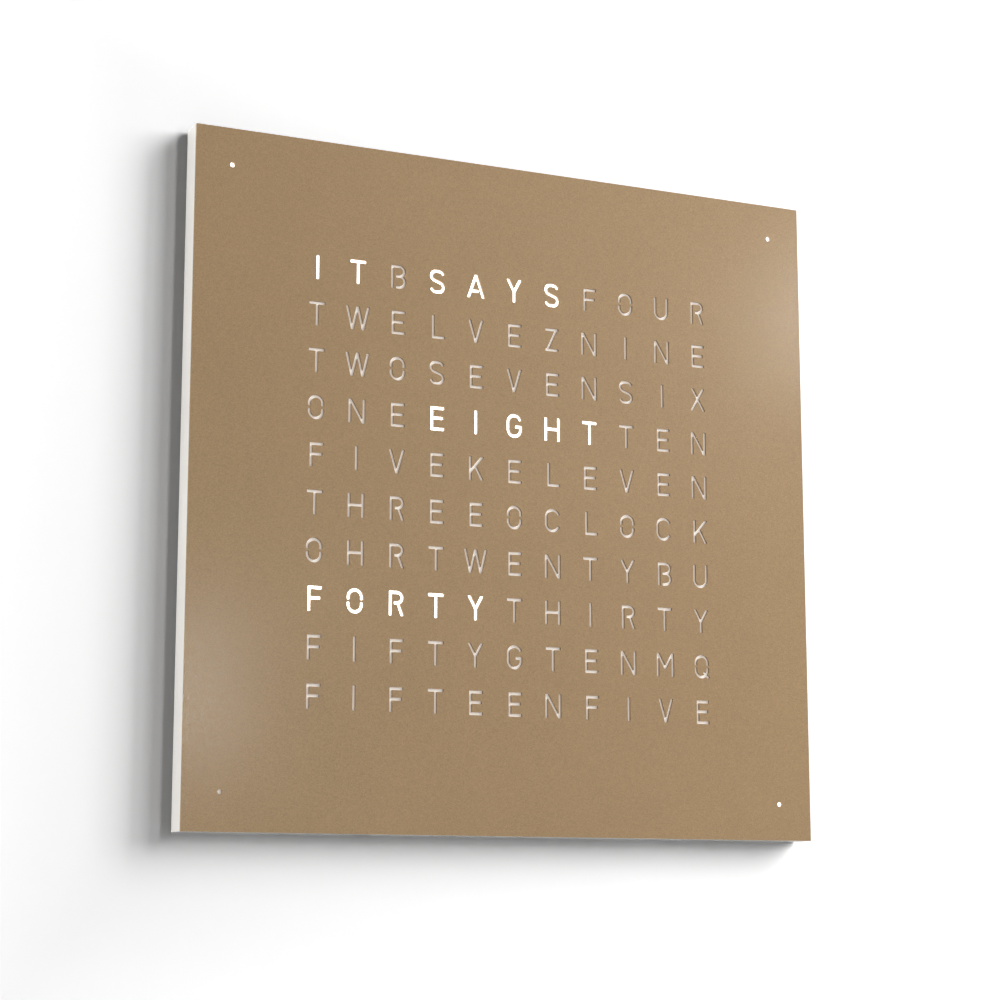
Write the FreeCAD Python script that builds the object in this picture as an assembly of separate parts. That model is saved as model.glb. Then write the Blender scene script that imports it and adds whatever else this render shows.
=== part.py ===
import FreeCAD, Part
import math
import os

from FreeCAD import Vector

# Wall clock that tells the time in words. All sizes are in millimetres.
# X runs to the right, Z upwards and Y from the viewer into the wall.
# The origin is the centre of the rear face, which lies on the wall at y = 0.

# Overall
SIDE = 450.0
DEPTH = 19.0
COVER_T = 1.6
DIFFUSER_T = 0.8
GRID_DEPTH = 7.0
BOARD_T = 1.6
PANEL_T = 1.5
HALF = SIDE / 2

# Planes, counted from the viewer's side to the wall
FRONT_Y = -DEPTH
COVER_BACK_Y = FRONT_Y + COVER_T
DIFFUSER_BACK_Y = COVER_BACK_Y + DIFFUSER_T
BOARD_FRONT_Y = DIFFUSER_BACK_Y + GRID_DEPTH
BOARD_BACK_Y = BOARD_FRONT_Y + BOARD_T
PANEL_FRONT_Y = -PANEL_T

# Dial: one letter in each cell of a grid, and one dot near each corner
DIAL_ROWS = (
    "ITBSAYSFOUR",
    "TWELVEZNINE",
    "TWOSEVENSIX",
    "ONEEIGHTTEN",
    "FIVEKELEVEN",
    "THREEOCLOCK",
    "OHRTWENTYBU",
    "FORTYTHIRTY",
    "FIFTYGTENMQ",
    "FIFTEENFIVE",
)
COLUMN_PITCH = 28.2
ROW_PITCH = 31.0
CAP_HALF = 8.0
STROKE = 1.95
CORNER_R = 0.35
BRIDGE = 1.5
MINUTE_AT = 200.5
MINUTE_R = 1.5

# Letter construction lines
HALF_STROKE = STROKE / 2
LINE = CAP_HALF - HALF_STROKE

# Housing
DIFFUSER_HALF = 206.7
REBATE_HALF = 207.0
WELL_HALF = 204.0
PANEL_HALF = 211.7
PANEL_REBATE_HALF = 212.0
RIM_AT = 216.0

# Cover fixings
MAGNET_R = 5.0
MAGNET_T = 3.0
MAGNET_OFFSET = 75.0
PIN_R = 2.0
PIN_LENGTH = 6.0
PIN_HOLE_R = 2.3
PIN_HOLE_DEPTH = 8.0

# Light grid and light board
GRID_WALL = 1.2
EAR_T = 2.0
EAR_HALF = 5.0
LED_BOARD_HALF = 166.0
BOARD_SCREW_AT = 161.0
EAR_Z = 77.5
LED_SIZE = (3.5, 2.8, 1.9)
DRIVER_SIZE = (10.3, 7.5, 2.3)
SENSOR_SIZE = (2.0, 2.0, 0.9)

# Board fixings
SCREW_R = 1.4
SCREW_HOLE_R = 1.7
SCREW_HEAD_R = 2.75
SCREW_HEAD_T = 1.8
SCREW_REACH = 5.0
STANDOFF_FLATS = 5.5
STANDOFF_BORE_R = 1.5

# Rear panel
PANEL_SCREW_AT = 208.0
PANEL_SCREW_FAR = 190.0
PANEL_SCREW_NEAR = 63.0
PANEL_SCREW_HEAD_R = 2.9
PANEL_SCREW_DEPTH = 11.0
VENT_WIDTH = 2.6
VENT_LENGTH = 26.0
VENT_PITCH = 9.0
VENT_COUNT = 9
VENT_Z = 118.0

# Hanging
HANGER_X = 150.0
KEYHOLE_Z = 184.0
KEYHOLE_R = 4.5
KEYHOLE_SLOT_R = 2.4
KEYHOLE_RISE = 9.0
HANGER_HALF_WIDTH = 20.0
HANGER_LOW = 173.0
HANGER_HIGH = 203.0
RIVET_R = 1.6
RIVET_HEAD_R = 2.8
RIVET_HEAD_T = 1.0

# Control board, below the dial
CONTROL_LEFT = -112.0
CONTROL_RIGHT = 32.0
CONTROL_LOW = -203.6
CONTROL_HIGH = -171.0
CONTROL_MID_Z = -187.0

# Power socket and the channel for its plug
JACK_X = -100.0
JACK_Y = -7.5
JACK_WIDTH = 9.0
JACK_HEIGHT = 11.0
JACK_LOW = -203.9
JACK_HIGH = -190.0
JACK_BORE_R = 3.15
JACK_BORE_DEPTH = 9.4
JACK_PIN_R = 1.0
CHANNEL_WIDTH = 14.0
CHANNEL_DEPTH = 13.5

# Push buttons in the lower edge
BUTTON_X = (96.0, 108.0, 120.0, 132.0)
BUTTON_Y = -8.7
BUTTON_R = 3.5
BUTTON_HOLE_R = 3.7
BUTTON_FLANGE_R = 4.4
BUTTON_FLANGE_T = 1.4
BUTTON_SEAT_R = 4.8
BUTTON_SEAT_Z = -216.0
BUTTON_STEM_R = 1.6
SWITCH_LOW = -201.2
SWITCH_HIGH = -197.6
SWITCH_WIDTH = 6.2
SWITCH_T = 4.0
PLUNGER_R = 1.4
PLUNGER_HOLE_R = 1.5
PLUNGER_LOW = -203.2
PLUNGER_HIGH = -199.8
PLUNGER_HOLE_TOP = -198.8
BUTTON_BOARD_FRONT_Y = -6.6

# Corner lights
MINUTE_BOARD_IN = 189.8
MINUTE_BOARD_OUT = 203.8
MINUTE_SCREW_AT = 193.5
TUBE_R = 3.3
TUBE_BORE_R = 2.4
MINUTE_LED_SIZE = (3.0, 2.4, 1.2)

# Radio time receiver, above the dial
ROD_R = 4.0
ROD_HALF = 30.0
ROD_Y = -9.0
ROD_Z = 188.0
COIL_R = 5.8
COIL_HALF = 13.0
CLIP_X = 22.0
RECEIVER_LEFT = 44.0
RECEIVER_RIGHT = 72.0
RECEIVER_LOW = 178.0
RECEIVER_HIGH = 198.0

# Leads
LEAD_R = 1.0
THIN_LEAD_R = 0.7
LEAD_X = 58.0
LEAD_BACK_Y = PANEL_FRONT_Y - LEAD_R - 0.1
CONNECTOR_T = 4.0


def box(x0, x1, y0, y1, z0, z1):
    """Block between two corners."""
    return Part.makeBox(x1 - x0, y1 - y0, z1 - z0, Vector(x0, y0, z0))


def block(x, z, size, y_face):
    """Block of size (width, height, thickness), centred on x and z, that stands on y_face towards the viewer."""
    width, height, thick = size
    return box(x - width / 2, x + width / 2, y_face - thick, y_face, z - height / 2, z + height / 2)


def rod_x(y, z, radius, x0, x1):
    return Part.makeCylinder(radius, x1 - x0, Vector(x0, y, z), Vector(1, 0, 0))


def rod_y(x, z, radius, y0, y1):
    return Part.makeCylinder(radius, y1 - y0, Vector(x, y0, z), Vector(0, 1, 0))


def rod_z(x, y, radius, z0, z1):
    return Part.makeCylinder(radius, z1 - z0, Vector(x, y, z0), Vector(0, 0, 1))


def fuse(shapes):
    first, rest = shapes[0], shapes[1:]
    return first.multiFuse(rest).removeSplitter()


def group(shapes):
    """Separate solids in one node."""
    return Part.makeCompound(shapes)


def save(name, shape):
    """Writes one node and prints its solids, volume and validity."""
    shape.exportStep("parts/" + name + ".step")
    print(f"{name}: {len(shape.Solids)} solids, {shape.Volume:.0f} mm3, valid {shape.isValid()}")


def corners():
    """Signs of the four corners, as (name, x sign, z sign)."""
    return (
        ("top_left", -1, 1),
        ("top_right", 1, 1),
        ("bottom_left", -1, -1),
        ("bottom_right", 1, -1),
    )


def outline(points, radii, y=0.0):
    """Closed wire through (x, z) points, with its corners rounded to radii. A radius of 0 stays sharp."""
    count = len(points)
    turn = sum(a[0] * b[1] - b[0] * a[1] for a, b in zip(points, points[1:] + points[:1]))
    if turn < 0:
        points, radii = points[::-1], radii[::-1]
    flat = [Vector(x, y, z) for x, z in points]
    starts, ends, edges = [], [], []
    for i, corner in enumerate(flat):
        back = (flat[i - 1] - corner).normalize()
        ahead = (flat[(i + 1) % count] - corner).normalize()
        if radii[i] == 0:
            starts.append(corner)
            ends.append(corner)
            continue
        half = back.getAngle(ahead) / 2
        reach = radii[i] / math.tan(half)
        inward = (back + ahead).normalize()
        middle = corner + inward * (radii[i] / math.sin(half) - radii[i])
        starts.append(corner + back * reach)
        ends.append(corner + ahead * reach)
        edges.append(Part.Arc(starts[i], middle, ends[i]).toShape())
    for i in range(count):
        if (starts[(i + 1) % count] - ends[i]).Length > 1e-6:
            edges.append(Part.LineSegment(ends[i], starts[(i + 1) % count]).toShape())
    return Part.Wire(Part.__sortEdges__(edges))


def rectangle(x0, x1, z0, z1, y=0.0, radius=0.0):
    return outline([(x0, z0), (x1, z0), (x1, z1), (x0, z1)], [radius] * 4, y)


def circle(x, z, radius, y=0.0):
    return Part.Wire(Part.makeCircle(radius, Vector(x, y, z), Vector(0, -1, 0)))


def sheet(outer, holes, y0, thickness):
    """Flat sheet from wires drawn at y = 0, with its viewer side at y0."""
    face = Part.makeFace([outer] + holes, "Part::FaceMakerBullseye")
    face.translate(Vector(0, y0, 0))
    return face.extrude(Vector(0, thickness, 0))


def bar(x0, z0, x1, z1, round_start=True, round_end=True):
    """Straight stroke between its two ends."""
    along = Vector(x1 - x0, 0, z1 - z0).normalize()
    side = Vector(-along.z, 0, along.x) * HALF_STROKE
    r0 = CORNER_R if round_start else 0.0
    r1 = CORNER_R if round_end else 0.0
    points = [
        (x0 + side.x, z0 + side.z),
        (x0 - side.x, z0 - side.z),
        (x1 - side.x, z1 - side.z),
        (x1 + side.x, z1 + side.z),
    ]
    return Part.Face(outline(points, [r0, r0, r1, r1]))


def bend(x, z, radius, start, end):
    """Round stroke about (x, z) from angle start to angle end, in degrees, anticlockwise."""
    def on(r, angle):
        a = math.radians(angle)
        return Vector(x + r * math.cos(a), 0, z + r * math.sin(a))

    outer, inner, middle = radius + HALF_STROKE, radius - HALF_STROKE, (start + end) / 2
    edges = [
        Part.Arc(on(outer, start), on(outer, middle), on(outer, end)).toShape(),
        Part.LineSegment(on(outer, end), on(inner, end)).toShape(),
        Part.Arc(on(inner, end), on(inner, middle), on(inner, start)).toShape(),
        Part.LineSegment(on(inner, start), on(outer, start)).toShape(),
    ]
    return Part.Face(Part.Wire(edges))


def tail(x, z, radius, angle, turn, length):
    """Short straight end of a round stroke. turn is 1 where the stroke runs anticlockwise into it, else -1."""
    a = math.radians(angle)
    x0, z0 = x + radius * math.cos(a), z + radius * math.sin(a)
    return bar(x0, z0, x0 - turn * length * math.sin(a), z0 + turn * length * math.cos(a), False, True)


def slant(x0, z0, x1, z1):
    """Sloping stroke with level ends. x0 and x1 are the middles of its ends."""
    wide = STROKE * math.hypot(x1 - x0, z1 - z0) / abs(z1 - z0) / 2
    points = [(x0 - wide, z0), (x0 + wide, z0), (x1 + wide, z1), (x1 - wide, z1)]
    return Part.Face(outline(points, [CORNER_R] * 4))


def arm(x0, z0, x1, z1):
    """Sloping stroke that leaves a stem at x0 with an upright end and stops at z1 with a level end."""
    length = math.hypot(x1 - x0, z1 - z0)
    wide = STROKE * length / abs(z1 - z0) / 2
    tall = STROKE * length / abs(x1 - x0) / 2
    points = [(x0, z0 - tall), (x1 + wide, z1), (x1 - wide, z1), (x0, z0 + tall)]
    return Part.Face(outline(points, [0, CORNER_R, CORNER_R, 0]))


def chevron(x, half_width, z_open, z_apex):
    """Two sloping strokes that meet in a flat apex of one stroke's width."""
    run = half_width - HALF_STROKE
    rise = abs(z_open - z_apex)
    wide = STROKE * math.hypot(run, rise) / rise
    inner = z_open + (z_apex - z_open) * (half_width - wide) / run
    points = [
        (x - half_width, z_open),
        (x - half_width + wide, z_open),
        (x, inner),
        (x + half_width - wide, z_open),
        (x + half_width, z_open),
        (x + HALF_STROKE, z_apex),
        (x - HALF_STROKE, z_apex),
    ]
    return Part.Face(outline(points, [CORNER_R, CORNER_R, 0, CORNER_R, CORNER_R, CORNER_R, CORNER_R]))


def stem(x, z0=-CAP_HALF, z1=CAP_HALF):
    return bar(x, z0, x, z1)


def letter_a():
    half_width, cross_z = 6.5, -3.3
    inner = half_width * (CAP_HALF - cross_z) / (2 * CAP_HALF) - STROKE / 2
    return [
        chevron(0, half_width, -CAP_HALF, CAP_HALF),
        bar(-inner - HALF_STROKE, cross_z, inner - BRIDGE, cross_z),
    ]


def letter_b():
    left, middle, turn = -3.95, 0.35, 1.05
    upper, lower = (LINE - middle) / 2, (LINE + middle) / 2
    free = left + HALF_STROKE + BRIDGE
    return [
        stem(left),
        bar(left - HALF_STROKE, LINE, turn, LINE, True, False),
        bend(turn, middle + upper, upper, -90, 90),
        bar(free, middle, turn, middle, True, False),
        bend(turn, middle - lower, lower, -90, 90),
        bar(free, -LINE, turn, -LINE, True, False),
    ]


def bowl_ends(radius, start_angle):
    """Upper and lower ends of an open bowl such as C."""
    middle = LINE - radius
    return [
        bend(0, middle, radius, start_angle, 180),
        tail(0, middle, radius, start_angle, -1, 0.8),
        bar(-radius, middle, -radius, -middle, False, False),
    ]


def letter_c():
    radius, cut = 4.7, 28
    middle = LINE - radius
    return bowl_ends(radius, cut) + [
        bend(0, -middle, radius, 180, 360 - cut),
        tail(0, -middle, radius, 360 - cut, 1, 0.8),
    ]


def letter_e(left=-3.45, right=5.35):
    return letter_f(left, right) + [bar(left - HALF_STROKE, -LINE, right, -LINE)]


def letter_f(left=-2.95, right=5.6):
    middle, short = 0.35, 0.9
    return [
        stem(left),
        bar(left - HALF_STROKE, LINE, right, LINE),
        bar(left, middle, right - short, middle),
    ]


def letter_g():
    radius, cut, cross_z = 4.6, 28, -0.6
    middle = LINE - radius
    return bowl_ends(radius, cut) + [
        bend(0, -middle, radius, 180, 360),
        bar(radius, -middle, radius, cross_z + HALF_STROKE, False, True),
        bar(radius + HALF_STROKE, cross_z, 0.6, cross_z),
    ]


def letter_h():
    side = 4.75
    return [stem(-side), stem(side), bar(-side, 0.2, side, 0.2)]


def letter_i():
    return [stem(0)]


def letter_k():
    left, low, right = -3.95, -2.6, 4.9
    slope = (CAP_HALF - low) / (right - left)
    branch_z = 1.6
    branch_x = left + (branch_z - low) / slope
    return [stem(left), arm(left, low, right, CAP_HALF), slant(branch_x, branch_z, 4.75, -CAP_HALF)]


def letter_l():
    left, right = -2.8, 5.7
    return [stem(left), bar(left - HALF_STROKE, -LINE, right, -LINE)]


def letter_m():
    side = 5.7
    return [stem(-side), stem(side), chevron(0, side + HALF_STROKE, CAP_HALF, -2.5)]


def letter_n():
    side = 4.9
    wide = STROKE * math.hypot(2 * side, 2 * CAP_HALF) / (2 * CAP_HALF) / 2
    reach = side + HALF_STROKE - wide
    return [stem(-side), stem(side), slant(-reach, CAP_HALF, reach, -CAP_HALF)]


def round_letter(radius, crossing=()):
    """Upper arch and lower cup, parted by a bridge halfway up each side. Crossing strokes join the cup."""
    middle, gap = LINE - radius, BRIDGE / 2
    arch = [
        bend(0, middle, radius, 0, 180),
        bar(-radius, middle, -radius, gap, False, True),
        bar(radius, middle, radius, gap, False, True),
    ]
    cup = [
        bend(0, -middle, radius, 180, 360),
        bar(-radius, -middle, -radius, -gap, False, True),
        bar(radius, -middle, radius, -gap, False, True),
    ]
    return fuse(arch).Faces + fuse(cup + list(crossing)).Faces


def letter_o():
    return round_letter(4.55)


def letter_q():
    return round_letter(4.55, [bar(1.4, -3.6, 5.7, -7.9)])


def letter_r():
    left, middle, turn = -3.75, 0.3, 1.0
    bowl = (LINE - middle) / 2
    return [
        stem(left),
        bar(left - HALF_STROKE, LINE, turn, LINE, True, False),
        bend(turn, middle + bowl, bowl, -90, 90),
        bar(left + HALF_STROKE + BRIDGE, middle, turn, middle, True, False),
        slant(1.2, middle + HALF_STROKE / 2, 4.6, -CAP_HALF),
    ]


def letter_s():
    radius, reach, cut = 3.2, 4.35, 30
    x, z = reach - radius, LINE - radius
    span = math.hypot(2 * x, 2 * z)
    touch = math.degrees(math.acos(2 * radius / span) - math.atan2(x, z))
    spine = 270 - touch
    a = math.radians(spine)
    foot = (-x + radius * math.cos(a), z + radius * math.sin(a))
    return [
        tail(x, z, radius, cut, -1, 0.8),
        bend(x, z, radius, cut, 90),
        bar(x, LINE, -x, LINE, False, False),
        bend(-x, z, radius, 90, spine),
        bar(foot[0], foot[1], -foot[0], -foot[1], False, False),
        bend(x, -z, radius, -90, spine - 180),
        bar(x, -LINE, -x, -LINE, False, False),
        bend(-x, -z, radius, 180 + cut, 270),
        tail(-x, -z, radius, 180 + cut, -1, 0.8),
    ]


def letter_t():
    return [stem(0), bar(-5.5, LINE, 5.5, LINE)]


def letter_u():
    side = 4.6
    return [
        bar(-side, CAP_HALF, -side, side - LINE, True, False),
        bend(0, side - LINE, side, 180, 360),
        bar(side, CAP_HALF, side, side - LINE, True, False),
    ]


def letter_v():
    return [chevron(0, 5.7, CAP_HALF, -CAP_HALF)]


def letter_w():
    reach = 8.5
    centre = (reach - HALF_STROKE) / 2
    half_width = (reach + HALF_STROKE) / 2
    return [chevron(side * centre, half_width, CAP_HALF, -CAP_HALF) for side in (-1, 1)]


def letter_x():
    top, foot = 4.4, 4.8
    return [slant(-top, CAP_HALF, foot, -CAP_HALF), slant(top, CAP_HALF, -foot, -CAP_HALF)]


def letter_y():
    return [chevron(0, 5.7, CAP_HALF, -0.8), stem(0, -CAP_HALF, 0)]


def letter_z():
    side = 4.9
    wide = STROKE * math.hypot(2 * side, 2 * CAP_HALF) / (2 * CAP_HALF) / 2
    reach = side - wide
    return [
        bar(-side, LINE, side, LINE),
        bar(-side, -LINE, side, -LINE),
        slant(reach, CAP_HALF, -reach, -CAP_HALF),
    ]


LETTERS = {
    "A": letter_a,
    "B": letter_b,
    "C": letter_c,
    "E": letter_e,
    "F": letter_f,
    "G": letter_g,
    "H": letter_h,
    "I": letter_i,
    "K": letter_k,
    "L": letter_l,
    "M": letter_m,
    "N": letter_n,
    "O": letter_o,
    "Q": letter_q,
    "R": letter_r,
    "S": letter_s,
    "T": letter_t,
    "U": letter_u,
    "V": letter_v,
    "W": letter_w,
    "X": letter_x,
    "Y": letter_y,
    "Z": letter_z,
}


def letter_wires(letter):
    """Outlines of a letter's slots, about the middle of its cell."""
    strokes = LETTERS[letter]()
    shape = fuse(strokes) if len(strokes) > 1 else strokes[0]
    return [face.OuterWire for face in shape.Faces]


def cell_centres():
    """Each cell's letter and middle, from the upper left."""
    for row, word in enumerate(DIAL_ROWS):
        z = ((len(DIAL_ROWS) - 1) / 2 - row) * ROW_PITCH
        for column, letter in enumerate(word):
            yield letter, (column - (len(word) - 1) / 2) * COLUMN_PITCH, z


def front_cover():
    """Steel sheet with a slot for each letter stroke and a hole for each corner dot."""
    drawn = {letter: letter_wires(letter) for letter in LETTERS}
    holes = []
    for letter, x, z in cell_centres():
        for wire in drawn[letter]:
            moved = wire.copy()
            moved.translate(Vector(x, 0, z))
            holes.append(moved)
    for _, sx, sz in corners():
        holes.append(circle(sx * MINUTE_AT, sz * MINUTE_AT, MINUTE_R))
    return sheet(rectangle(-HALF, HALF, -HALF, HALF), holes, FRONT_Y, COVER_T)


def locating_pins():
    """Four pins welded to the back of the cover."""
    end = COVER_BACK_Y + PIN_LENGTH
    return group([rod_y(sx * RIM_AT, sz * RIM_AT, PIN_R, COVER_BACK_Y, end) for _, sx, sz in corners()])


def magnet_places():
    """Two magnets in each rail of the housing."""
    for side in (-1, 1):
        for offset in (-MAGNET_OFFSET, MAGNET_OFFSET):
            yield side * RIM_AT, offset
            yield offset, side * RIM_AT


def cover_magnets():
    y1 = COVER_BACK_Y + MAGNET_T
    return group([rod_y(x, z, MAGNET_R, COVER_BACK_Y, y1) for x, z in magnet_places()])


def panel_screw_places():
    """Four screws along the upper and lower edge and two along each side."""
    for side in (-1, 1):
        for x in (-PANEL_SCREW_FAR, -PANEL_SCREW_NEAR, PANEL_SCREW_NEAR, PANEL_SCREW_FAR):
            yield x, side * PANEL_SCREW_AT
        for z in (-PANEL_SCREW_NEAR, PANEL_SCREW_NEAR):
            yield side * PANEL_SCREW_AT, z


def channel_cut():
    """Space for the plug below the power socket, open to the wall side and downwards."""
    half = CHANNEL_WIDTH / 2
    return box(JACK_X - half, JACK_X + half, -CHANNEL_DEPTH, 1, -HALF - 1, -WELL_HALF)


def housing_frame():
    """Lacquered frame with a rebate for the diffuser in front and one for the rear panel behind."""
    ring = box(-HALF, HALF, COVER_BACK_Y, 0, -HALF, HALF)
    r, w, p = REBATE_HALF, WELL_HALF, PANEL_REBATE_HALF
    cuts = [
        box(-r, r, COVER_BACK_Y, DIFFUSER_BACK_Y, -r, r),
        box(-w, w, COVER_BACK_Y, 0, -w, w),
        box(-p, p, PANEL_FRONT_Y, 0, -p, p),
        channel_cut(),
    ]
    for x, z in magnet_places():
        cuts.append(rod_y(x, z, MAGNET_R, COVER_BACK_Y, COVER_BACK_Y + MAGNET_T))
    for _, sx, sz in corners():
        y1 = COVER_BACK_Y + PIN_HOLE_DEPTH
        cuts.append(rod_y(sx * RIM_AT, sz * RIM_AT, PIN_HOLE_R, COVER_BACK_Y, y1))
    for x, z in panel_screw_places():
        cuts.append(rod_y(x, z, SCREW_R + 0.1, -PANEL_SCREW_DEPTH - 1, PANEL_FRONT_Y))
    for x in BUTTON_X:
        cuts.append(rod_z(x, BUTTON_Y, BUTTON_HOLE_R, -HALF - 1, BUTTON_SEAT_Z))
        cuts.append(rod_z(x, BUTTON_Y, BUTTON_SEAT_R, BUTTON_SEAT_Z, -WELL_HALF))
    return ring.cut(cuts)


def diffuser_sheet():
    d = DIFFUSER_HALF
    return box(-d, d, COVER_BACK_Y, DIFFUSER_BACK_Y, -d, d)


def ear_places():
    return [(side * BOARD_SCREW_AT, z) for side in (-1, 1) for z in (-EAR_Z, EAR_Z)]


def light_grid():
    """Moulded grid with one open well for each letter and four screw ears."""
    columns, rows = len(DIAL_ROWS[0]), len(DIAL_ROWS)
    half_x = (columns * COLUMN_PITCH + GRID_WALL) / 2
    half_z = (rows * ROW_PITCH + GRID_WALL) / 2
    half_w, half_h = (COLUMN_PITCH - GRID_WALL) / 2, (ROW_PITCH - GRID_WALL) / 2
    wells = [rectangle(x - half_w, x + half_w, z - half_h, z + half_h) for _, x, z in cell_centres()]
    grid = sheet(rectangle(-half_x, half_x, -half_z, half_z), wells, DIFFUSER_BACK_Y, GRID_DEPTH)
    ears = []
    for x, z in ear_places():
        x0, x1 = sorted((math.copysign(half_x - GRID_WALL / 2, x), math.copysign(LED_BOARD_HALF, x)))
        plate = box(x0, x1, BOARD_FRONT_Y - EAR_T, BOARD_FRONT_Y, z - EAR_HALF, z + EAR_HALF)
        ears.append(plate.cut(rod_y(x, z, SCREW_HOLE_R, BOARD_FRONT_Y - EAR_T, BOARD_FRONT_Y)))
    return fuse([grid] + ears)


def led_board_screw_places():
    """Screws that go straight on the light board, without those through the ears of the grid."""
    at = BOARD_SCREW_AT
    return [(sx * at, sz * at) for _, sx, sz in corners()] + [(0, at), (0, -at)]


def minute_screw_places():
    return [(sx * MINUTE_SCREW_AT, sz * MINUTE_SCREW_AT) for _, sx, sz in corners()]


def control_screw_places():
    inset = 4.5
    left, right = CONTROL_LEFT + inset - 0.5, CONTROL_RIGHT - inset
    low, high = CONTROL_LOW + inset, CONTROL_HIGH - inset
    return [(x, z) for x in (left, right) for z in (low, high)]


def receiver_screw_places():
    inset = 4.0
    z = (RECEIVER_LOW + RECEIVER_HIGH) / 2
    return [(RECEIVER_LEFT + inset, z), (RECEIVER_RIGHT - inset, z)]


def button_screw_places():
    z = SWITCH_HIGH + 5.0
    return [(BUTTON_X[0] - 6.0, z), (BUTTON_X[-1] + 6.0, z)]


def pan_screw(x, z, y_seat, reach):
    """Screw with its head on y_seat, towards the viewer."""
    head = rod_y(x, z, SCREW_HEAD_R, y_seat - SCREW_HEAD_T, y_seat)
    driver = outline(
        [(x + 1.25 * math.cos(math.radians(60 * k)), z + 1.25 * math.sin(math.radians(60 * k))) for k in range(6)],
        [0] * 6,
    )
    recess = sheet(driver, [], y_seat - SCREW_HEAD_T, SCREW_HEAD_T * 0.6)
    return fuse([head, rod_y(x, z, SCREW_R, y_seat, y_seat + reach)]).cut(recess)


def board_screws():
    made = []
    level = led_board_screw_places() + minute_screw_places() + control_screw_places() + receiver_screw_places()
    for x, z in level:
        made.append(pan_screw(x, z, BOARD_FRONT_Y, BOARD_T + SCREW_REACH))
    for x, z in ear_places():
        made.append(pan_screw(x, z, BOARD_FRONT_Y - EAR_T, EAR_T + BOARD_T + SCREW_REACH))
    for x, z in button_screw_places():
        made.append(pan_screw(x, z, BUTTON_BOARD_FRONT_Y, BOARD_T + 2.5))
    return group(made)


def standoff(x, z, y0):
    """Hexagonal spacer between a board at y0 and the rear panel."""
    radius = STANDOFF_FLATS / math.sqrt(3)
    turns = [math.radians(60 * k) for k in range(6)]
    hexagon = outline([(x + radius * math.cos(a), z + radius * math.sin(a)) for a in turns], [0] * 6)
    return sheet(hexagon, [circle(x, z, STANDOFF_BORE_R)], y0, PANEL_FRONT_Y - y0)


def board_standoffs():
    level = led_board_screw_places() + ear_places() + minute_screw_places()
    level += control_screw_places() + receiver_screw_places()
    made = [standoff(x, z, BOARD_BACK_Y) for x, z in level]
    made += [standoff(x, z, BUTTON_BOARD_FRONT_Y + BOARD_T) for x, z in button_screw_places()]
    return group(made)


def led_board():
    h = LED_BOARD_HALF
    holes = [circle(x, z, SCREW_HOLE_R) for x, z in led_board_screw_places() + ear_places()]
    return sheet(rectangle(-h, h, -h, h, radius=3.0), holes, BOARD_FRONT_Y, BOARD_T)


def letter_leds():
    return group([block(x, z, LED_SIZE, BOARD_FRONT_Y) for _, x, z in cell_centres()])


def light_sensor():
    """Brightness sensor in the last well, beside its light."""
    _, x, z = list(cell_centres())[-1]
    return block(x - 8.0, z - 9.0, SENSOR_SIZE, BOARD_FRONT_Y)


def led_driver_chips():
    """Eight driver chips on the back of the light board."""
    thick = DRIVER_SIZE[2]
    chips = []
    for x in (-120.0, -40.0, 30.0, 120.0):
        for z in (-60.0, 60.0):
            chips.append(block(x, z, DRIVER_SIZE, BOARD_BACK_Y + thick))
    return group(chips)


def keyhole(x):
    """Outline of a keyhole: a round entry for the screw head with a narrow slot above."""
    slot = KEYHOLE_SLOT_R
    shoulder = math.sqrt(KEYHOLE_R ** 2 - slot ** 2)
    top = KEYHOLE_Z + KEYHOLE_RISE
    left_low, left_high = Vector(x - slot, 0, KEYHOLE_Z + shoulder), Vector(x - slot, 0, top)
    right_low, right_high = Vector(x + slot, 0, KEYHOLE_Z + shoulder), Vector(x + slot, 0, top)
    edges = [
        Part.Arc(left_low, Vector(x, 0, KEYHOLE_Z - KEYHOLE_R), right_low).toShape(),
        Part.LineSegment(right_low, right_high).toShape(),
        Part.Arc(right_high, Vector(x, 0, top + slot), left_high).toShape(),
        Part.LineSegment(left_high, left_low).toShape(),
    ]
    return Part.Wire(edges)


def rivet_places():
    inset = 5.0
    for side in (-1, 1):
        for dx in (-HANGER_HALF_WIDTH + inset, HANGER_HALF_WIDTH - inset):
            for z in (HANGER_LOW + inset, HANGER_HIGH - inset):
                yield side * HANGER_X + dx, z


def hanger_plate(side):
    """Steel plate behind a keyhole of the rear panel, which carries the clock on its screw."""
    x = side * HANGER_X
    outer = rectangle(x - HANGER_HALF_WIDTH, x + HANGER_HALF_WIDTH, HANGER_LOW, HANGER_HIGH, radius=3.0)
    rivets = [circle(rx, rz, RIVET_R) for rx, rz in rivet_places() if rx * side > 0]
    return sheet(outer, [keyhole(x)] + rivets, PANEL_FRONT_Y - PANEL_T, PANEL_T)


def hanger_rivets():
    inner = PANEL_FRONT_Y - PANEL_T
    made = []
    for x, z in rivet_places():
        head = rod_y(x, z, RIVET_HEAD_R, inner - RIVET_HEAD_T, inner)
        made.append(fuse([head, rod_y(x, z, RIVET_R, inner, 0)]))
    return group(made)


def vent_wires():
    """Two rows of upright air slots."""
    half_w, half_l = VENT_WIDTH / 2, VENT_LENGTH / 2
    first = -(VENT_COUNT - 1) / 2 * VENT_PITCH
    for z in (-VENT_Z, VENT_Z):
        for k in range(VENT_COUNT):
            x = first + k * VENT_PITCH
            yield rectangle(x - half_w, x + half_w, z - half_l, z + half_l, radius=half_w * 0.98)


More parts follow.
